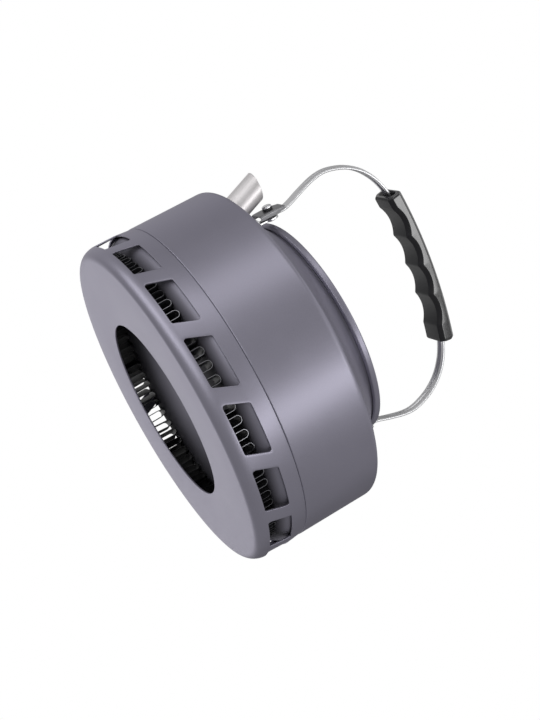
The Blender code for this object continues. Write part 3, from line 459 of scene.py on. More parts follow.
# Painted shade: the fin faces are near black for the deep shade inside the skirt.
FIN_PAINTED_SHADE = grained("fin_faces_painted_shade", (0.015, 0.015, 0.018), (0.035, 0.035, 0.04), (0.45, 0.6),
                    metallic=0.5)
FIN_EDGE = grained("cut_fin_edges", (0.20, 0.20, 0.22), (0.34, 0.34, 0.36), (0.35, 0.45))
fins = make_piece("fin_ring", [fin_strip()], FIN_PAINTED_SHADE)
flat = face_vectors(fins, "center")[:, :2]
distance = np.linalg.norm(flat, axis=1)
outwards = (flat * face_vectors(fins, "normal")[:, :2]).sum(axis=1) / distance
second_finish(fins, FIN_EDGE, (np.abs(outwards) > 0.9) & (distance > 0.080))
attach(fins, "kettle")
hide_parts("heat_exchanger_fins")

# Skirt
# A pressed aluminium ring with sixteen slanted windows round its wall and the burner hole in its
# base. It laps over the pot's stepped wall at the seam and is anodised with the pot.
SKIRT_RADIUS = 93.1
SKIRT_SHEET = 1.0
SEAM_RADIUS = 92.2
SEAM_HEIGHT = 28.7
TAPER_HEIGHT = 19.7
CORNER_WIDTH = 5.7
CORNER_HEIGHT = 8.1
BURNER_RADIUS = 50.6
WINDOW_COUNT = 16
WINDOW_LOW = 6.8
WINDOW_HIGH = 20.0
WINDOW_WIDTH = radians(16.8)
WINDOW_SKEW = radians(3.4)
WINDOW_FIRST = radians(7.75)
WINDOW_CORNER = 1.3
BAND_LOW = 4.2               # the windows' band of the wall, between two plain bands
BAND_HIGH = 22.6
EDGE_ROUND = 0.25
PANEL_STEPS = 16             # columns of one window's panel along its top or bottom


def wall_radius(height, inset):
    """Radius of the skirt at a height: an upright wall that draws in above the taper, and below it a
    quarter of an ellipse down to the base. The inset is how deep into the sheet, from 0 to 1."""
    sink = inset * SKIRT_SHEET
    upright = SKIRT_RADIUS - (SKIRT_RADIUS - SEAM_RADIUS) * np.clip(
        (height - TAPER_HEIGHT) / (SEAM_HEIGHT - TAPER_HEIGHT), 0.0, 1.0)
    down = np.clip((CORNER_HEIGHT - height) / (CORNER_HEIGHT - sink), 0.0, 1.0)
    bend = (CORNER_WIDTH - sink) * (1 - np.sqrt(1 - down**2))
    return upright - sink - bend


def window_slant(height):
    """Turn of the wall's columns at a height: the windows lean, and so do the columns between them."""
    middle = (WINDOW_LOW + WINDOW_HIGH) / 2
    return WINDOW_SKEW * (np.clip(height, BAND_LOW, BAND_HIGH) - middle) / (WINDOW_HIGH - WINDOW_LOW)


def window_outline(grow):
    """Edge of a window, flat on the wall: a slanted four-sided shape moved out by grow, each corner an
    arc, with as many points on each side as the panel round it has."""
    half = WINDOW_WIDTH * SKIRT_RADIUS / 2
    rise = (WINDOW_HIGH - WINDOW_LOW) / 2
    slope = WINDOW_SKEW * SKIRT_RADIUS / 2 / rise
    wide = half + grow * hypot(1.0, slope)
    tall = rise + grow
    corner = WINDOW_CORNER + grow
    arcs = rounded([
        (-wide, 0.0, 0.0), (-wide - tall * slope, -tall, corner), (wide - tall * slope, -tall, corner),
        (wide + tall * slope, tall, corner), (-wide + tall * slope, tall, corner), (-wide, 0.0, 0.0),
    ], steps=6)[1:-1].reshape(4, 7, 2)
    edge = []
    for i in range(4):
        start = arcs[i][3:]
        finish = arcs[(i + 1) % 4][:4]
        straight = np.linspace(start[-1], finish[0], PANEL_STEPS - 5 - i % 2 * 4)[1:-1]
        edge.append(np.vstack([start, straight, finish[:-1]]))
    return np.vstack(edge)


def panel_outline():
    """Border of the panel round one window: the slanted share of the wall that it takes."""
    half = pi / WINDOW_COUNT * SKIRT_RADIUS
    along = np.linspace(-half, half, PANEL_STEPS + 1)
    up = np.linspace(BAND_LOW, BAND_HIGH, PANEL_STEPS - 3)
    low = np.stack([along, np.full_like(along, BAND_LOW)], axis=-1)
    right = np.stack([np.full_like(up, half), up], axis=-1)
    border = np.vstack([low[:-1], right[:-1], (low + (0, BAND_HIGH - BAND_LOW))[:0:-1],
                        (right - (2 * half, 0))[:0:-1]])
    border[:, 0] += window_slant(border[:, 1]) * SKIRT_RADIUS
    return border


def window_panels():
    """Sixteen panels of wall, each a ring of quads between its border and its window: over the outside,
    round the window's rounded edge, through the sheet and back over the inside."""
    border = panel_outline()
    middle = np.array([0.0, (WINDOW_LOW + WINDOW_HIGH) / 2])
    wide = window_outline(EDGE_ROUND) + middle
    rows = []
    for share in (0.0, 0.4, 0.75, 1.0):
        flat = border + (wide - border) * share
        rows.append(np.column_stack([flat, np.zeros(len(flat))]))
    for turn in np.radians((30.0, 60.0, 90.0)):
        flat = window_outline(EDGE_ROUND * (1 - sin(turn))) + middle
        rows.append(np.column_stack([flat, np.full(len(flat), EDGE_ROUND * (1 - cos(turn)))]))
    thickness = rows[::-1]
    rows += [np.column_stack([row[:, :2], SKIRT_SHEET - row[:, 2]]) for row in thickness]
    flat = np.stack(rows)
    height = flat[..., 1]
    radius = wall_radius(height, flat[..., 2] / SKIRT_SHEET)
    first = WINDOW_FIRST + (WINDOW_WIDTH + WINDOW_SKEW) / 2
    panels = []
    for number in range(WINDOW_COUNT):
        turn = first + 2 * pi * number / WINDOW_COUNT + flat[..., 0] / SKIRT_RADIUS
        grid = np.stack([radius * np.cos(turn), radius * np.sin(turn), height], axis=-1)
        panels.append(surface(grid, columns_closed=True))
    return panels


def corner_profile(inset):
    """The skirt's rounded corner from the windows' band down to the flat base."""
    top = np.arcsin((CORNER_HEIGHT - BAND_LOW) / (CORNER_HEIGHT - inset))
    turn = np.linspace(top, pi / 2, 12)
    return np.stack([SKIRT_RADIUS - CORNER_WIDTH + (CORNER_WIDTH - inset) * np.cos(turn),
                     CORNER_HEIGHT - (CORNER_HEIGHT - inset) * np.sin(turn)], axis=-1)


outside = corner_profile(0.0)
inside = corner_profile(SKIRT_SHEET)
on_base = SKIRT_RADIUS - 12.0          # somewhere on the flat base
hole_edge = rounded([(on_base, 0.0, 0.0), (BURNER_RADIUS, 0.0, 0.3),
                     (BURNER_RADIUS, SKIRT_SHEET, 0.3), (on_base, SKIRT_SHEET, 0.0)], 4)
base_profile = np.vstack([outside, hole_edge, inside[::-1]])
lip = SEAM_HEIGHT + 0.33
top_edge = rounded([(float(wall_radius(BAND_HIGH, 0)), BAND_HIGH, 0.0), (SEAM_RADIUS, lip, 0.5),
                    (SEAM_RADIUS - SKIRT_SHEET, lip, 0.3),
                    (float(wall_radius(BAND_HIGH, 1)), BAND_HIGH, 0.0)], 4)
panel_start = WINDOW_FIRST + (WINDOW_WIDTH + WINDOW_SKEW) / 2 - pi / WINDOW_COUNT
skirt = make_piece("windowed_skirt", [
    turned(base_profile, shift=panel_start + window_slant(BAND_LOW)),
    turned(top_edge, shift=panel_start + window_slant(BAND_HIGH)),
    *window_panels(),
], ANODISED)
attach(skirt, "kettle")
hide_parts("heat_exchanger_skirt")

# Ears and their rivets
# Pressed stainless brackets on the shoulder: a flange with two round ends, each held by a domed rivet,
# and a narrow tab bent up from its middle for the hinge pin.
EAR_X = 65.3
EAR_SHEET = 1.2
EAR_LOBE = 4.0
EAR_NECK = 2.7
FOOT_AT = 9.3
FOOT_X = 69.86               # the rivets' distance in front of the kettle's axis
FOOT_ROUND = 2.7
FLANGE_SHEET = 0.9           # what stands over the shoulder
HINGE_HEIGHT = NECK_TOP + 2.0
HOLE_RADIUS = 1.9
FOOT_REACH = hypot(FOOT_X, FOOT_AT)
FOOT_TURN = np.arcsin(FOOT_AT / FOOT_REACH)


def slab(outline, low, high, edge):
    """Flat sheet: a closed outline that runs counterclockwise is carried from low to high, and drawn in
    along its normals over a quarter circle at both faces."""
    run = np.roll(outline, -1, axis=0) - np.roll(outline, 1, axis=0)
    run /= np.linalg.norm(run, axis=1)[:, None]
    inward = np.stack([-run[:, 1], run[:, 0]], axis=-1)
    turn = np.linspace(0.0, pi / 2, 4)
    inset = edge * (1 - np.sin(np.concatenate([turn, turn[::-1]])))
    rise = edge * (1 - np.cos(turn))
    level = np.concatenate([low + rise, high - rise[::-1]])
    flat = outline + inward * inset[:, None, None]
    return np.concatenate([flat, np.broadcast_to(level[:, None, None], (*flat.shape[:2], 1))], axis=-1)


def on_shoulder(points, turn, radius):
    """Put (outwards from a radius, across, out of the surface) points on the shoulder's curve."""
    slope = shoulder_slope(radius)
    x, across, out = points[..., 0] + radius, points[..., 1], points[..., 2]
    height = shoulder_height(np.hypot(x, across)) + out * np.cos(slope)
    return turned_about(np.stack([x + out * np.sin(slope), across, height], axis=-1), turn)


def turned_about(points, turn):
    """Turn points about the kettle's axis."""
    x, y = points[..., 0], points[..., 1]
    return np.stack([x * np.cos(turn) - y * np.sin(turn), x * np.sin(turn) + y * np.cos(turn),
                     points[..., 2]], axis=-1)


def bracket_tab():
    """Front view of the tab as a slab: a neck that widens to a half circle round the pin."""
    foot = float(shoulder_height(EAR_X)) - 0.3
    side = rounded([
        (0.0, foot, 0.0), (EAR_NECK + 0.6, foot, 0.0), (EAR_NECK, foot + 2.5, 3.0),
        (EAR_NECK, HINGE_HEIGHT - 3.4, 1.2), (EAR_LOBE, HINGE_HEIGHT - 1.4, 1.2),
        (EAR_LOBE, HINGE_HEIGHT + EAR_LOBE, EAR_LOBE - 0.01), (0.0, HINGE_HEIGHT + EAR_LOBE, 0.0),
    ], 8)
    outline = np.vstack([side, side[-2:0:-1] * (-1.0, 1.0)])
    plate = slab(outline, EAR_X, EAR_X + EAR_SHEET, 0.2)
    return surface(plate[..., [2, 0, 1]], columns_closed=True)


def bracket_flange():
    """The flange as a slab on the shoulder: a waist under the tab and a round end over each rivet,
    every side split into equal steps of a millimetre at most so that it follows the shoulder."""
    inner, outer, end = FOOT_X - FOOT_ROUND, FOOT_X + FOOT_ROUND, FOOT_AT + FOOT_ROUND
    half = rounded([
        (EAR_X + 0.3, 0.0, 0.0), (EAR_X + 0.3, -EAR_NECK, 0.0), (inner, -EAR_NECK, 0.8),
        (inner, -end, FOOT_ROUND - 0.05), (outer, -end, FOOT_ROUND - 0.05), (outer, 3.0 - FOOT_AT, 1.5),
        (outer - 1.2, -2.5, 1.5), (outer - 1.2, 0.0, 0.0),
    ], 8)
    outline = np.vstack([half, half[-2:0:-1] * (1.0, -1.0)])
    side = np.roll(outline, -1, axis=0) - outline
    steps = np.ceil(np.linalg.norm(side, axis=1)).astype(int)
    first = np.repeat(np.cumsum(steps) - steps, steps)
    share = (np.arange(steps.sum()) - first) / np.repeat(steps, steps)
    outline = np.repeat(outline, steps, axis=0) + share[:, None] * np.repeat(side, steps, axis=0)
    plate = slab(outline - (FOOT_X, 0.0), 0.1, FLANGE_SHEET, 0.2)
    return surface(on_shoulder(plate, 0.0, FOOT_X), columns_closed=True)


BRACKET_STEEL = grained("bracket_steel", (0.60, 0.60, 0.61), (0.76, 0.76, 0.77), (0.24, 0.34))
rivet_profile = rounded([
    (0.0, FLANGE_SHEET + 0.85, 0.0), (1.7, FLANGE_SHEET + 0.8, 1.3), (2.2, FLANGE_SHEET, 0.1),
    (1.3, FLANGE_SHEET, 0.0), (1.3, -1.35, 0.0), (2.2, -1.35, 0.1), (2.2, -2.1, 0.4), (0.0, -2.1, 0.0),
], 6)
for label, turn in (("front", 0.0), ("rear", pi)):
    ear = make_piece(f"{label}_pressed_bracket", [bracket_tab()], BRACKET_STEEL, capped=True)
    combined(ear, make_piece("flange", [bracket_flange()], BRACKET_STEEL, capped=True), "UNION")
    drilled(ear, (EAR_X - 2.0, 0.0, HINGE_HEIGHT), (EAR_X + 4.0, 0.0, HINGE_HEIGHT), HOLE_RADIUS)
    ear.data.transform(Matrix.Rotation(turn, 4, "Z"))
    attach(ear, "kettle")
    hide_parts(f"{label}_ear")
    for word, side in (("left", 1), ("right", -1)):
        xyz, quads = turned(rivet_profile, 40)
        xyz = on_shoulder(xyz, turn + side * FOOT_TURN, FOOT_REACH)
        rivet = make_piece(f"{label}_domed_rivet_{word}", [(xyz, quads)], BRACKET_STEEL)
        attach(rivet, "kettle")
        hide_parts(f"{label}_ear_rivet_{word}")

# Lid
# A pressed aluminium lid that drops over the neck: a rim outside it, a channel over its top and a
# sunk middle with a steam hole. It is anodised as the pot.
GAP = 0.3                    # between pieces that touch
LID_SHEET = 1.0
LID_RADIUS = 62.9
LID_TOP = NECK_TOP + GAP + LID_SHEET
LID_CREST = LID_TOP + 0.3    # the channel's top
LID_FLOOR = LID_TOP - 5.6
KNOB_SEAT = LID_FLOOR + 0.6
LID_PLUG = 59.6
KNOB_BORE = 2.3              # for the knob's screw
STEAM_HOLE_X = 40.0
STEAM_HOLE_RADIUS = 1.6
lid_profile = rounded([
    (KNOB_BORE, KNOB_SEAT, 0.0),
    (14.5, KNOB_SEAT, 1.5),
    (30.0, KNOB_SEAT - 0.25, 4.0),
    (LID_PLUG - LID_SHEET, LID_FLOOR, 2.0),
    (LID_PLUG - LID_SHEET, LID_CREST, 1.0),
    (LID_RADIUS, LID_CREST, 1.2),
    (LID_RADIUS, LID_TOP - 2.9, 1.5),
    (LID_RADIUS - 1.25, LID_TOP - 4.15, 0.2),
    (LID_RADIUS - 1.5, LID_TOP - 3.4, 0.1),
    (LID_RADIUS - LID_SHEET, LID_TOP - 2.4, 0.3),
    (LID_RADIUS - LID_SHEET, LID_TOP - LID_SHEET, 0.3),
    (LID_PLUG, LID_TOP - LID_SHEET, 0.3),
    (LID_PLUG, LID_FLOOR - LID_SHEET, 3.0),
    (30.0, KNOB_SEAT - 0.25 - LID_SHEET, 4.0),
    (14.5, KNOB_SEAT - LID_SHEET, 1.5),
    (KNOB_BORE, KNOB_SEAT - LID_SHEET, 0.0),
], steps=6)
lid = make_piece("pressed_lid", [turned(lid_profile, 192, closed=True)], ANODISED)
drilled(lid, (STEAM_HOLE_X, 0.0, LID_FLOOR - 5.0), (STEAM_HOLE_X, 0.0, LID_FLOOR + 5.0),
        STEAM_HOLE_RADIUS)
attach(lid, "lid")
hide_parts("lid_shell")

# Knob
# A black knob turned in outline, moulded with a waist for the fingers and a blind bore from below. It
# stands on the lid's middle, and a screw from under the lid holds it.
KNOB_RADIUS = 13.5
KNOB_FOOT = 10.0
GRIP_PLASTIC = grained("moulded_black_plastic", (0.003, 0.003, 0.004), (0.007, 0.007, 0.009),
                       (0.13, 0.17), size=(0.0011, 0.0011, 0.0011), cloud=0.0, metallic=0.0, gloss=1.0,
                       bump=0.0000017)
knob_base = KNOB_SEAT + GAP
knob_profile = rounded([
    (0.0, knob_base + 8.3, 0.0),
    (KNOB_BORE, knob_base + 8.3, 0.0),
    (KNOB_BORE, knob_base, 0.0),
    (KNOB_FOOT, knob_base, 0.4),
    (8.5, knob_base + 4.4, 6.0),
    (KNOB_FOOT, knob_base + 6.6, 3.0),
    (KNOB_RADIUS, knob_base + 9.0, 1.2),
    (KNOB_RADIUS, knob_base + 13.2, 2.5),
    (6.0, knob_base + 13.55, 8.0),
    (0.0, knob_base + 13.7, 0.0),
], steps=8)
knob = make_piece("moulded_knob", [turned(knob_profile, 96)], GRIP_PLASTIC)
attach(knob, "lid")
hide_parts("lid_knob")

# Screw and washer under the knob
# A stainless socket screw that goes up through the lid into the knob, and the plain stainless washer
# between its head and the lid.


def ring_profile(inner, outer, low, high, bore_edge, outer_edge):
    """Closed profile of a plain ring, from the middle of its bore over its outside and back."""
    middle = (low + high) / 2
    return rounded([(inner, middle, 0.0), (inner, high, bore_edge), (outer, high, outer_edge),
                    (outer, low, outer_edge), (inner, low, bore_edge), (inner, middle - 0.05, 0.0)], 4)


SCREW_STEEL = grained("screw_steel", (0.50, 0.50, 0.52), (0.66, 0.66, 0.68), (0.25, 0.35))
washer_top = KNOB_SEAT - LID_SHEET - GAP
under_profile = ring_profile(KNOB_BORE, 5.0, washer_top - 0.8, washer_top, 0.1, 0.15)
plain_washer = make_piece("plain_washer", [turned(under_profile, 64, closed=True)], SCREW_STEEL)
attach(plain_washer, "lid")
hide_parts("knob_washer")
head_top = washer_top - 0.8 - GAP
head_end = head_top - 2.2
screw_profile = rounded([
    (0.0, knob_base + 8.0, 0.0), (2.0, knob_base + 8.0, 0.5), (2.0, head_top, 0.1),
    (3.8, head_top, 0.1), (3.8, head_end, 0.9), (0.0, head_end, 0.0),
], 6)
screw = make_piece("socket_screw", [turned(screw_profile, 64)], SCREW_STEEL)
drilled(screw, (0.0, 0.0, head_top - 3.0), (0.0, 0.0, head_top - 0.8), 1.45, 6)
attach(screw, "lid")
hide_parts("knob_screw")

# Bail strip
# A flat stainless strip, round-ended, with a rib pressed out along its middle above the clasps. It
# rises beside the spout, swells outwards and turns in over the shoulder to carry the grip.
BAIL_LEAN = radians(3.0)
BAIL_RISE = 73.0
ARCH_RADIUS = 290.0
LEG_X = 67.5
LEG_TOP = 8.5
STRIP_SHEET = 1.4
STRIP_END = 3.4
STRIP_HALF = 5.0
STRIP_EDGE = 0.45            # how far the edges are rounded in
RIB_HALF = 1.9
RIB_HEIGHT = 0.9
CLASP_TOP = 9.3
GRIP_LENGTH = 92.0


def leaned(points):
    """The bail's own (x, y, height over the hinge) put where the bail stands, leaning about X."""
    x, y, z = points[..., 0], points[..., 1], points[..., 2]
    return np.stack([x, y * cos(BAIL_LEAN) - z * sin(BAIL_LEAN),
                     y * sin(BAIL_LEAN) + z * cos(BAIL_LEAN) + HINGE_HEIGHT], axis=-1)


def strip_line():
    """Middle line of the whole strip as (x, height) with its outward normals: a Catmull-Rom curve
    through the straight leg, the swell and the arch, mirrored for the rear half."""
    end_x = GRIP_LENGTH / 2 - 2.0
    end_z = BAIL_RISE - end_x**2 / (2 * ARCH_RADIUS)
    shares = np.array([
        (0.000, 0.000), (-0.055, 0.082), (-0.166, 0.201), (-0.281, 0.349), (-0.311, 0.464),
        (-0.251, 0.580), (-0.128, 0.695), (0.085, 0.812), (0.374, 0.905), (0.681, 0.966), (1.000, 1.000),
    ])
    swell = np.array([LEG_X, LEG_TOP]) + shares * (end_x - LEG_X, end_z - LEG_TOP)
    arch_x = np.linspace(end_x, 0.0, 4)[1:]
    arch = np.stack([arch_x, BAIL_RISE - arch_x**2 / (2 * ARCH_RADIUS)], axis=-1)
    leg = np.array([(LEG_X, -STRIP_END), (LEG_X, 0.0), (LEG_X, LEG_TOP / 2)])
    points = np.vstack([leg, swell, arch])
    padded = np.vstack([2 * points[0] - points[1], points, 2 * points[-1] - points[-2]])
    t = np.linspace(0.0, 1.0, 8, endpoint=False)[None, :, None]
    a, b, c, d = padded[:-3, None], padded[1:-2, None], padded[2:-1, None], padded[3:, None]
    spans = 0.5 * (2 * b + (c - a) * t + (2 * a - 5 * b + 4 * c - d) * t**2
                   + (3 * b - a - 3 * c + d) * t**3)
    half = np.vstack([spans.reshape(-1, 2), points[-1:]])
    round_end = np.stack([np.full(9, LEG_X), -STRIP_END * np.cos(np.linspace(0.0, pi / 2, 9))], axis=-1)
    half = np.vstack([round_end, half[half[:, 1] > 0.3]])
    line = np.vstack([half, half[-2::-1] * (-1.0, 1.0)])
    step = np.gradient(line, axis=0)
    step /= np.linalg.norm(step, axis=1)[:, None]
    return line, np.stack([step[:, 1], -step[:, 0]], axis=1)


def ease(value):
    """Smooth step from 0 to 1."""
    share = np.clip(value, 0.0, 1.0)
    return share**2 * (3 - 2 * share)


def ribbed_strip():
    """Flat strip with a pressed rib: at each point of the line a closed section of rounded edges, both
    faces lifted by the same smooth hump in the middle, so that the rib stands proud outside."""
    line, outward = strip_line()
    height = line[:, 1:]
    rounded_end = np.sqrt(np.clip(STRIP_END**2 - np.minimum(height, 0.0)**2, 0.0, None))
    full = STRIP_END + (STRIP_HALF - STRIP_END) * ease((height - CLASP_TOP) / (0.3 * BAIL_RISE))
    half_width = np.minimum(rounded_end, full)
    rib = RIB_HEIGHT * ease((height - 0.25 * BAIL_RISE) / (0.12 * BAIL_RISE))
    across = np.linspace(-1.0, 1.0, 29)
    edge = np.radians(np.linspace(90.0, -90.0, 7)[1:-1])
    face = np.concatenate([across, np.ones(5), across[::-1], -np.ones(5)])
    side = np.concatenate([np.ones(29), np.sin(edge), -np.ones(29), -np.sin(edge)])
    bulge = np.concatenate([np.zeros(29), np.cos(edge), np.zeros(29), -np.cos(edge)])
    y = np.maximum(half_width - STRIP_EDGE, 0.0) * face + np.minimum(half_width, STRIP_EDGE) * bulge
    hump = 0.5 + 0.5 * np.cos(pi * np.clip(np.abs(y) / RIB_HALF, 0.0, 1.0))
    offset = STRIP_SHEET / 2 * side + rib * hump**0.8
    x = line[:, :1] + outward[:, :1] * offset
    z = height + outward[:, 1:] * offset
    return surface(leaned(np.stack([x, y, z], axis=-1)), columns_closed=True)


STRIP_STEEL = grained("polished_strip_steel", (0.53, 0.53, 0.54), (0.62, 0.62, 0.635), (0.30, 0.36),
                      size=(0.0012, 0.0012, 0.006), bump=0.000002)
strip = make_piece("ribbed_strip", [ribbed_strip()], STRIP_STEEL, weld=0.01)
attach(strip, "bail")
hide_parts("bail_strip")

# Grip
# A black moulded bar round the strip's arch, with broad chamfers, four finger grooves underneath and
# a rounded pocket in each end where the strip goes in.
GRIP_HALF = 9.3
GRIP_THICK = 9.2
GRIP_CHAMFER = 2.3
GRIP_CORNER = 0.5
END_ROUND = 1.6
GROOVE_COUNT = 4
GROOVE_PITCH = 18.6
GROOVE_DEPTH = 2.2
GROOVE_CENTRE = 2.0
MOUTH_DEPTH = 2.2


def arch_frame(x):
    """Point of the strip's arch at x and its upward normal, both as (x, height)."""
    slope = -x / ARCH_RADIUS
    size = np.sqrt(1 + slope**2)
    return np.stack([x, BAIL_RISE - x**2 / (2 * ARCH_RADIUS)], axis=-1), np.stack(
        [-slope / size, 1 / size], axis=-1)


def grooved_bar():
    """Eight-sided bar along the arch: straight sides with an arc at each corner, the underside raised by
    a row of parabolas, the ends rounded in, and the same loop carried back through the bore."""
    half = GRIP_LENGTH / 2
    ends = half - END_ROUND + END_ROUND * np.sin(np.linspace(0.0, pi / 2, 7))
    inner = np.linspace(-half + END_ROUND, half - END_ROUND, 145)
    x = np.concatenate([-ends[:0:-1], inner, ends[1:]])
    share = (x - GROOVE_CENTRE) / GROOVE_PITCH + GROOVE_COUNT / 2
    across = 2 * (share - np.floor(share)) - 1
    groove = GROOVE_DEPTH * np.where((share > 0) & (share < GROOVE_COUNT), 1 - across**2, 0.0)
    kernel = np.array([1.0, 2.0, 1.0]) / 4
    groove[1:-1] = np.convolve(groove, kernel, "valid")
    from_end = np.clip((half - np.abs(x)) / END_ROUND, 0.0, 1.0)
    shrink = 0.5 * GRIP_CHAMFER * (1 - np.sqrt(1 - (1 - from_end)**2))
    top = GRIP_THICK / 2 - shrink
    bottom = -GRIP_THICK / 2 + shrink + groove
    side = GRIP_HALF - shrink
    cut = GRIP_CHAMFER
    corners = np.array([
        (side, top - cut), (side - cut, top), (cut - side, top), (-side, top - cut),
        (-side, bottom + cut), (cut - side, bottom), (side - cut, bottom), (side, bottom + cut),
    ]).transpose(2, 0, 1)
    bisector = np.radians(22.5 + 45.0 * np.arange(8))
    reach = GRIP_CORNER / cos(radians(22.5))
    sweep = np.radians(np.linspace(-22.5, 22.5, 5))
    turn = bisector[:, None] + sweep
    arcs = np.stack([GRIP_CORNER * np.cos(turn) - reach * np.cos(bisector)[:, None],
                     GRIP_CORNER * np.sin(turn) - reach * np.sin(bisector)[:, None]], axis=-1)
    outline = (corners[:, :, None, :] + arcs[None]).reshape(len(x), -1, 2)
    angle = np.arctan2(outline[0, :, 1], outline[0, :, 0] * 0.45)

    def opening(wide, high, low, power):
        """Slot through the same angles as the outline: a superellipse, taller above than below."""
        c, s = np.cos(angle), np.sin(angle)
        size = (np.abs(c)**power + np.abs(s)**power)**(-1 / power)
        return np.stack([wide * c * size, np.where(s > 0, high, low) * s * size], axis=-1)

    bore = opening(5.35, 1.95, 1.05, 6)
    stages = ((0.0, opening(7.6, 3.3, 2.6, 3.0)), (0.3, opening(7.3, 3.0, 2.3, 3.0)),
              (MOUTH_DEPTH, opening(6.6, 2.5, 1.7, 3.5)), (MOUTH_DEPTH + 0.1, bore))
    back_x = np.concatenate([[half - depth for depth, _ in stages], [0.0],
                             [depth - half for depth, _ in stages[::-1]]])
    back = np.stack([loop for _, loop in stages] + [bore] + [loop for _, loop in stages[::-1]])
    loops = np.concatenate([outline, back])
    middle, up = arch_frame(np.concatenate([x, back_x]))
    grid = np.stack([middle[:, None, 0] + up[:, None, 0] * loops[..., 1], loops[..., 0],
                     middle[:, None, 1] + up[:, None, 1] * loops[..., 1]], axis=-1)
    return surface(leaned(grid), rows_closed=True, columns_closed=True)


GRIP_MATTE = grained("matte_black_grooves", (0.004, 0.004, 0.005), (0.008, 0.008, 0.010),
                     (0.50, 0.60), cloud=0.0, metallic=0.0, gloss=0.35, bump=0.000017)
bar = make_piece("grooved_grip", [grooved_bar()], GRIP_PLASTIC, angle=30.0)
downwards = (0.0, sin(BAIL_LEAN), -cos(BAIL_LEAN))
second_finish(bar, GRIP_MATTE, face_vectors(bar, "normal") @ downwards > 0.5)
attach(bar, "bail")
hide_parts("grip")

# Clasps
# Pressed stainless pans over the strip's ends: a web with a wall round its sides and lower end, drawn
# in to a mouth where the strip leaves. A hinge pin holds each one.
CLASP_SHEET = 1.0
CLASP_HALF = 5.9
CLASP_DEEP = 2.9
CLASP_TALL = 8.2
CLASP_X = 70.7
CLASP_DRAFT = radians(9.0)   # how far the flanges lean in towards their free edges


def channel(side):
    """Pan: at each height of a smooth curve through the levels, a web with two quarter-round bends and
    two flanges, and a wall that closes its lower end. side is 1 in front and -1 at the rear."""
    mouth = STRIP_END + GAP + CLASP_SHEET
    lean = CLASP_X - (LEG_X + STRIP_SHEET / 2 + GAP + CLASP_SHEET + GAP)
    levels = np.array([
        (-0.95, 0.90 * CLASP_HALF, 0.96 * CLASP_DEEP, 0.04 * CLASP_DEEP),
        (-0.95, 0.93 * CLASP_HALF, 0.20 * CLASP_DEEP, 0.80 * CLASP_DEEP),
        (-0.91, 0.97 * CLASP_HALF, 0.0, CLASP_DEEP),
        (-0.60, CLASP_HALF, 0.0, CLASP_DEEP),
        (-0.10, CLASP_HALF, 0.0, CLASP_DEEP),
        (0.34, 0.97 * CLASP_HALF, 0.1 * lean, 0.95 * CLASP_DEEP),
        (0.58, 0.90 * CLASP_HALF, 0.4 * lean, 0.85 * CLASP_DEEP),
        (0.80, 0.5 * (0.9 * CLASP_HALF + mouth), 0.7 * lean, 0.68 * CLASP_DEEP),
        (1.00, mouth, lean, 0.50 * CLASP_DEEP),
    ])
    even = np.interp(np.linspace(0, 8, 41), np.arange(9), levels[:, 0])
    kernel = np.array([1.0, 2.0, 3.0, 2.0, 1.0]) / 9
    rows = np.stack([np.interp(even, levels[:, 0], column) for column in levels.T])
    for row in rows:
        row[2:-2] = np.convolve(row, kernel, "valid")
    z, wide, inset, deep = rows[..., None]
    bend = np.minimum(0.9, np.minimum(0.5 * deep, 0.5 * wide))
    turn = np.linspace(0.0, pi / 2, 6)
    flange = np.linspace(1.0, 0.0, 5)[:-1]
    web = np.linspace(1.0, 0.0, 5)[1:]
    along = np.hstack([deep * flange + bend * (1 - flange), bend * (1 - np.sin(turn)), 0 * bend * web])
    out = np.hstack([wide + 0 * flange, wide - bend * (1 - np.cos(turn)), (wide - bend) * web])
    out = out - along * tan(CLASP_DRAFT)
    along = np.hstack([along, along[:, -2::-1]])
    out = np.hstack([-out, out[:, -2::-1]])
    x = CLASP_X - inset - along
    return surface(leaned(np.stack([side * x, side * out, z * CLASP_TALL + 0 * x], axis=-1)))


CLASP_STEEL = grained("pressed_clasp_steel", (0.17, 0.17, 0.178), (0.26, 0.26, 0.27), (0.38, 0.45))
for label, side in (("front", 1), ("rear", -1)):
    clasp = make_piece(f"{label}_channel_clasp", [channel(side)], CLASP_STEEL)
    sheet = clasp.modifiers.new("sheet", "SOLIDIFY")
    sheet.thickness = CLASP_SHEET * 0.001
    sheet.offset = -1.0
    rim = clasp.modifiers.new("rim", "BEVEL")
    rim.width = 0.00018
    rim.segments = 2
    rim.limit_method = "ANGLE"
    rim.angle_limit = radians(50.0)
    settle(clasp)
    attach(clasp, "bail")
    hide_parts(f"{label}_clasp")

# Hinge pins, washers and spacers
# A steel pin through clasp, strip and ear, with a domed head outside over a black washer and a spread
# tail inside the ear. A spacer on it fills the clasp's hollow, so that riveting can't crush the clasp.
HEAD_X = 72.0
WASHER_X = 71.0
SPACER_X = 68.5
TAIL_X = 65.1
PIN_RADIUS = 1.6
HEAD_RADIUS = 2.7
RING_RADIUS = 2.9            # of the washers and the spacers
PIN_STEEL = grained("pin_steel", (0.60, 0.60, 0.62), (0.75, 0.75, 0.77), (0.14, 0.22))
WASHER_BLACK = grained("washer_black", (0.012, 0.012, 0.014), (0.022, 0.022, 0.025), (0.35, 0.45),
                       cloud=0.0, metallic=0.0, bump=0.000017)


def spun_about_hinge(profile, side, closed=False):
    """Surface of revolution about the hinge's line: (radius, x) points, side 1 in front, -1 behind."""
    xyz, quads = turned(profile, 48, closed)
    return leaned(np.stack([side * xyz[:, 2], xyz[:, 0], side * xyz[:, 1]], axis=-1)), quads


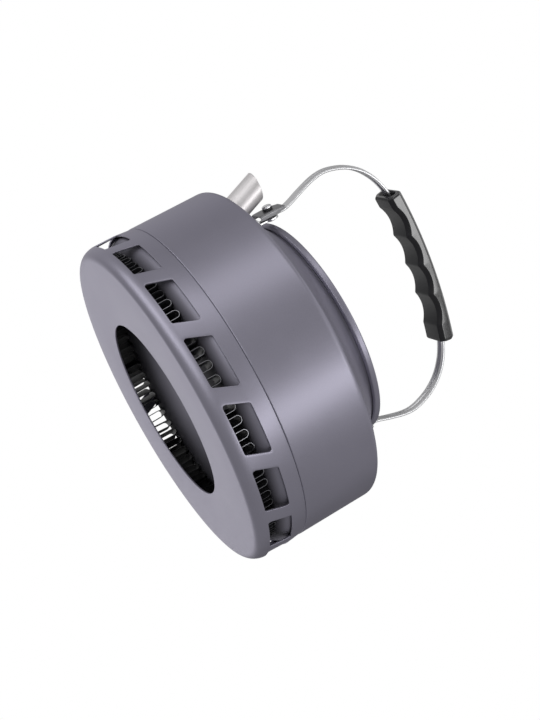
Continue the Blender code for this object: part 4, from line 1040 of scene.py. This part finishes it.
dome = np.radians(np.linspace(90.0, 0.0, 9))
pin_profile = np.vstack([
    np.stack([HEAD_RADIUS * np.cos(dome), HEAD_X + 0.525 + 0.975 * np.sin(dome)], axis=-1),
    rounded([(HEAD_RADIUS, HEAD_X + 0.3, 0.0), (HEAD_RADIUS, HEAD_X, 0.15), (PIN_RADIUS, HEAD_X, 0.0),
             (PIN_RADIUS, TAIL_X, 0.0), (2.4, TAIL_X, 0.15), (2.1, TAIL_X - 0.6, 0.25),
             (0.0, TAIL_X - 0.6, 0.0)], 4),
])
washer_profile = ring_profile(HOLE_RADIUS, RING_RADIUS, WASHER_X, WASHER_X + 0.7, 0.1, 0.2)
spacer_profile = ring_profile(HOLE_RADIUS, RING_RADIUS, SPACER_X, SPACER_X + 0.9, 0.1, 0.15)
for label, side in (("front", 1), ("rear", -1)):
    spacer = make_piece(f"{label}_plain_spacer", [spun_about_hinge(spacer_profile, side, closed=True)],
                        PIN_STEEL)
    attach(spacer, "bail")
    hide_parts(f"{label}_spacer")
    pin = make_piece(f"{label}_domed_pin", [spun_about_hinge(pin_profile, side)], PIN_STEEL)
    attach(pin, "bail")
    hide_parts(f"{label}_hinge_pin")
    washer = make_piece(f"{label}_black_washer", [spun_about_hinge(washer_profile, side, closed=True)],
                        WASHER_BLACK)
    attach(washer, "bail")
    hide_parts(f"{label}_head_washer")

# Floor, surround and lamps
# A pale floor that shows only from above and fades out, a soft bright surround, and three soft boxes:
# two tall ones beside the kettle for the long highlights on its wall, and a wide low one for its base.
FLOOR_REACH = 3.0
floor_mesh = bpy.data.meshes.new("floor")
floor_mesh.from_pydata(FLOOR_REACH * np.array([(-1, -1, 0), (1, -1, 0), (1, 1, 0), (-1, 1, 0)]), [],
                       [(0, 1, 2, 3)])
floor = linked("floor", floor_mesh)
floor_finish = bpy.data.materials.new("pale_floor")
floor_finish.use_nodes = True
tree = floor_finish.node_tree
tree.nodes.clear()
pale = node(tree, "BsdfDiffuse", {"Color": (0.85, 0.85, 0.85, 1.0)})
clear = node(tree, "BsdfTransparent")
camera_ray = node(tree, "LightPath").outputs["Is Camera Ray"]
from_below = node(tree, "NewGeometry").outputs["Backfacing"]
shown = maths(tree, "SUBTRACT", camera_ray, from_below, use_clamp=True)
place = node(tree, "TexCoord").outputs["Object"]
away = maths(tree, "LENGTH", place, kind="VectorMath").outputs["Value"]
seen = maths(tree, "MULTIPLY", shown, ramp(tree, away, 0.35, 1.4, 1.0, 0.0))
mixed = node(tree, "MixShader", {0: seen, 1: clear, 2: pale})
node(tree, "OutputMaterial", {"Surface": mixed})
floor_mesh.materials.append(floor_finish)

world = bpy.data.worlds.new("studio")
bpy.context.scene.world = world
world.use_nodes = True
tree = world.node_tree
tree.nodes.clear()
direction = node(tree, "TexCoord").outputs["Generated"]


def aim(azimuth, elevation):
    """Unit vector towards an azimuth and an elevation in degrees."""
    around, above = radians(azimuth), radians(elevation)
    return Vector((cos(above) * cos(around), cos(above) * sin(around), sin(above)))


def glow(azimuth, elevation, inner, outer, gain):
    """Brightness added round one direction of the surround, fading between two angles from it."""
    facing = maths(tree, "DOT_PRODUCT", direction, aim(azimuth, elevation), kind="VectorMath")
    return ramp(tree, facing.outputs["Value"], cos(radians(outer)), cos(radians(inner)), 0.0, gain)


light = node(tree, "Value")
light.outputs[0].default_value = 0.50
for glowing in (
        glow(248, -21, 8, 31, 0.76),     # what the base ring mirrors
        glow(225, 78, 15, 45, 0.40),     # the upper shoulder
        glow(224, 14, 10, 40, -0.32),    # the wall's far side
        glow(263, 36, 8, 32, -0.28),     # the lower shoulder
        glow(290, 8, 5, 32, 0.18),       # the clasp
        glow(85, 56, 5, 20, 0.7),        # the shoulder's rounded edge
        glow(213, 63, 6, 16, -0.85)):    # the grip's upper edge
    light = maths(tree, "ADD", light, glowing)
ambient = node(tree, "Background", {"Color": (1.0, 1.0, 1.0, 1.0), "Strength": light})
white = node(tree, "Background", {"Color": (1.0, 1.0, 1.0, 1.0), "Strength": 1.0})
camera_ray = node(tree, "LightPath").outputs["Is Camera Ray"]
node(tree, "OutputWorld", {"Surface": node(tree, "MixShader", {0: camera_ray, 1: ambient, 2: white})})


def soft_box(name, azimuth, elevation, wide, tall, radiance):
    """A rectangular lamp 1.8 m away that faces the kettle, its power from its area and radiance."""
    lamp = bpy.data.lights.new(name, "AREA")
    lamp.shape = "RECTANGLE"
    lamp.size = wide
    lamp.size_y = tall
    lamp.energy = radiance * pi * wide * tall
    made = linked(name, lamp)
    made.location = aim(azimuth, elevation) * 1.8 + Vector((0.0, 0.0, 0.06))
    made.rotation_euler = aim(azimuth, elevation).to_track_quat("Z", "Y").to_euler()
    made.visible_camera = False


soft_box("side_box", 106, 20, 0.44, 2.2, 4.2)
soft_box("front_box", 20, 20, 0.74, 1.8, 1.6)
soft_box("low_box", 16, -34, 3.6, 0.8, 2.3)

# Camera
# The photograph looks at the kettle from the side and a little from below, with the picture turned so
# that the kettle lies tilted. The axes and the place come from the camera fitted to the photograph.
view = bpy.data.cameras.new("camera")
view.lens = 69.73
view.sensor_width = 36.0
view.clip_start = 0.01
camera = linked("camera", view)
right = Vector((-0.3652, 0.4042, 0.8386))
up = Vector((0.8584, -0.2025, 0.4715))
back = Vector((0.3603, 0.8920, -0.2730))
pose = Matrix((right, up, back)).transposed().to_4x4()
pose.translation = (0.2679, 0.6750, -0.1416)
camera.matrix_world = pose
bpy.context.scene.camera = camera
bpy.context.scene.view_settings.view_transform = "Standard"
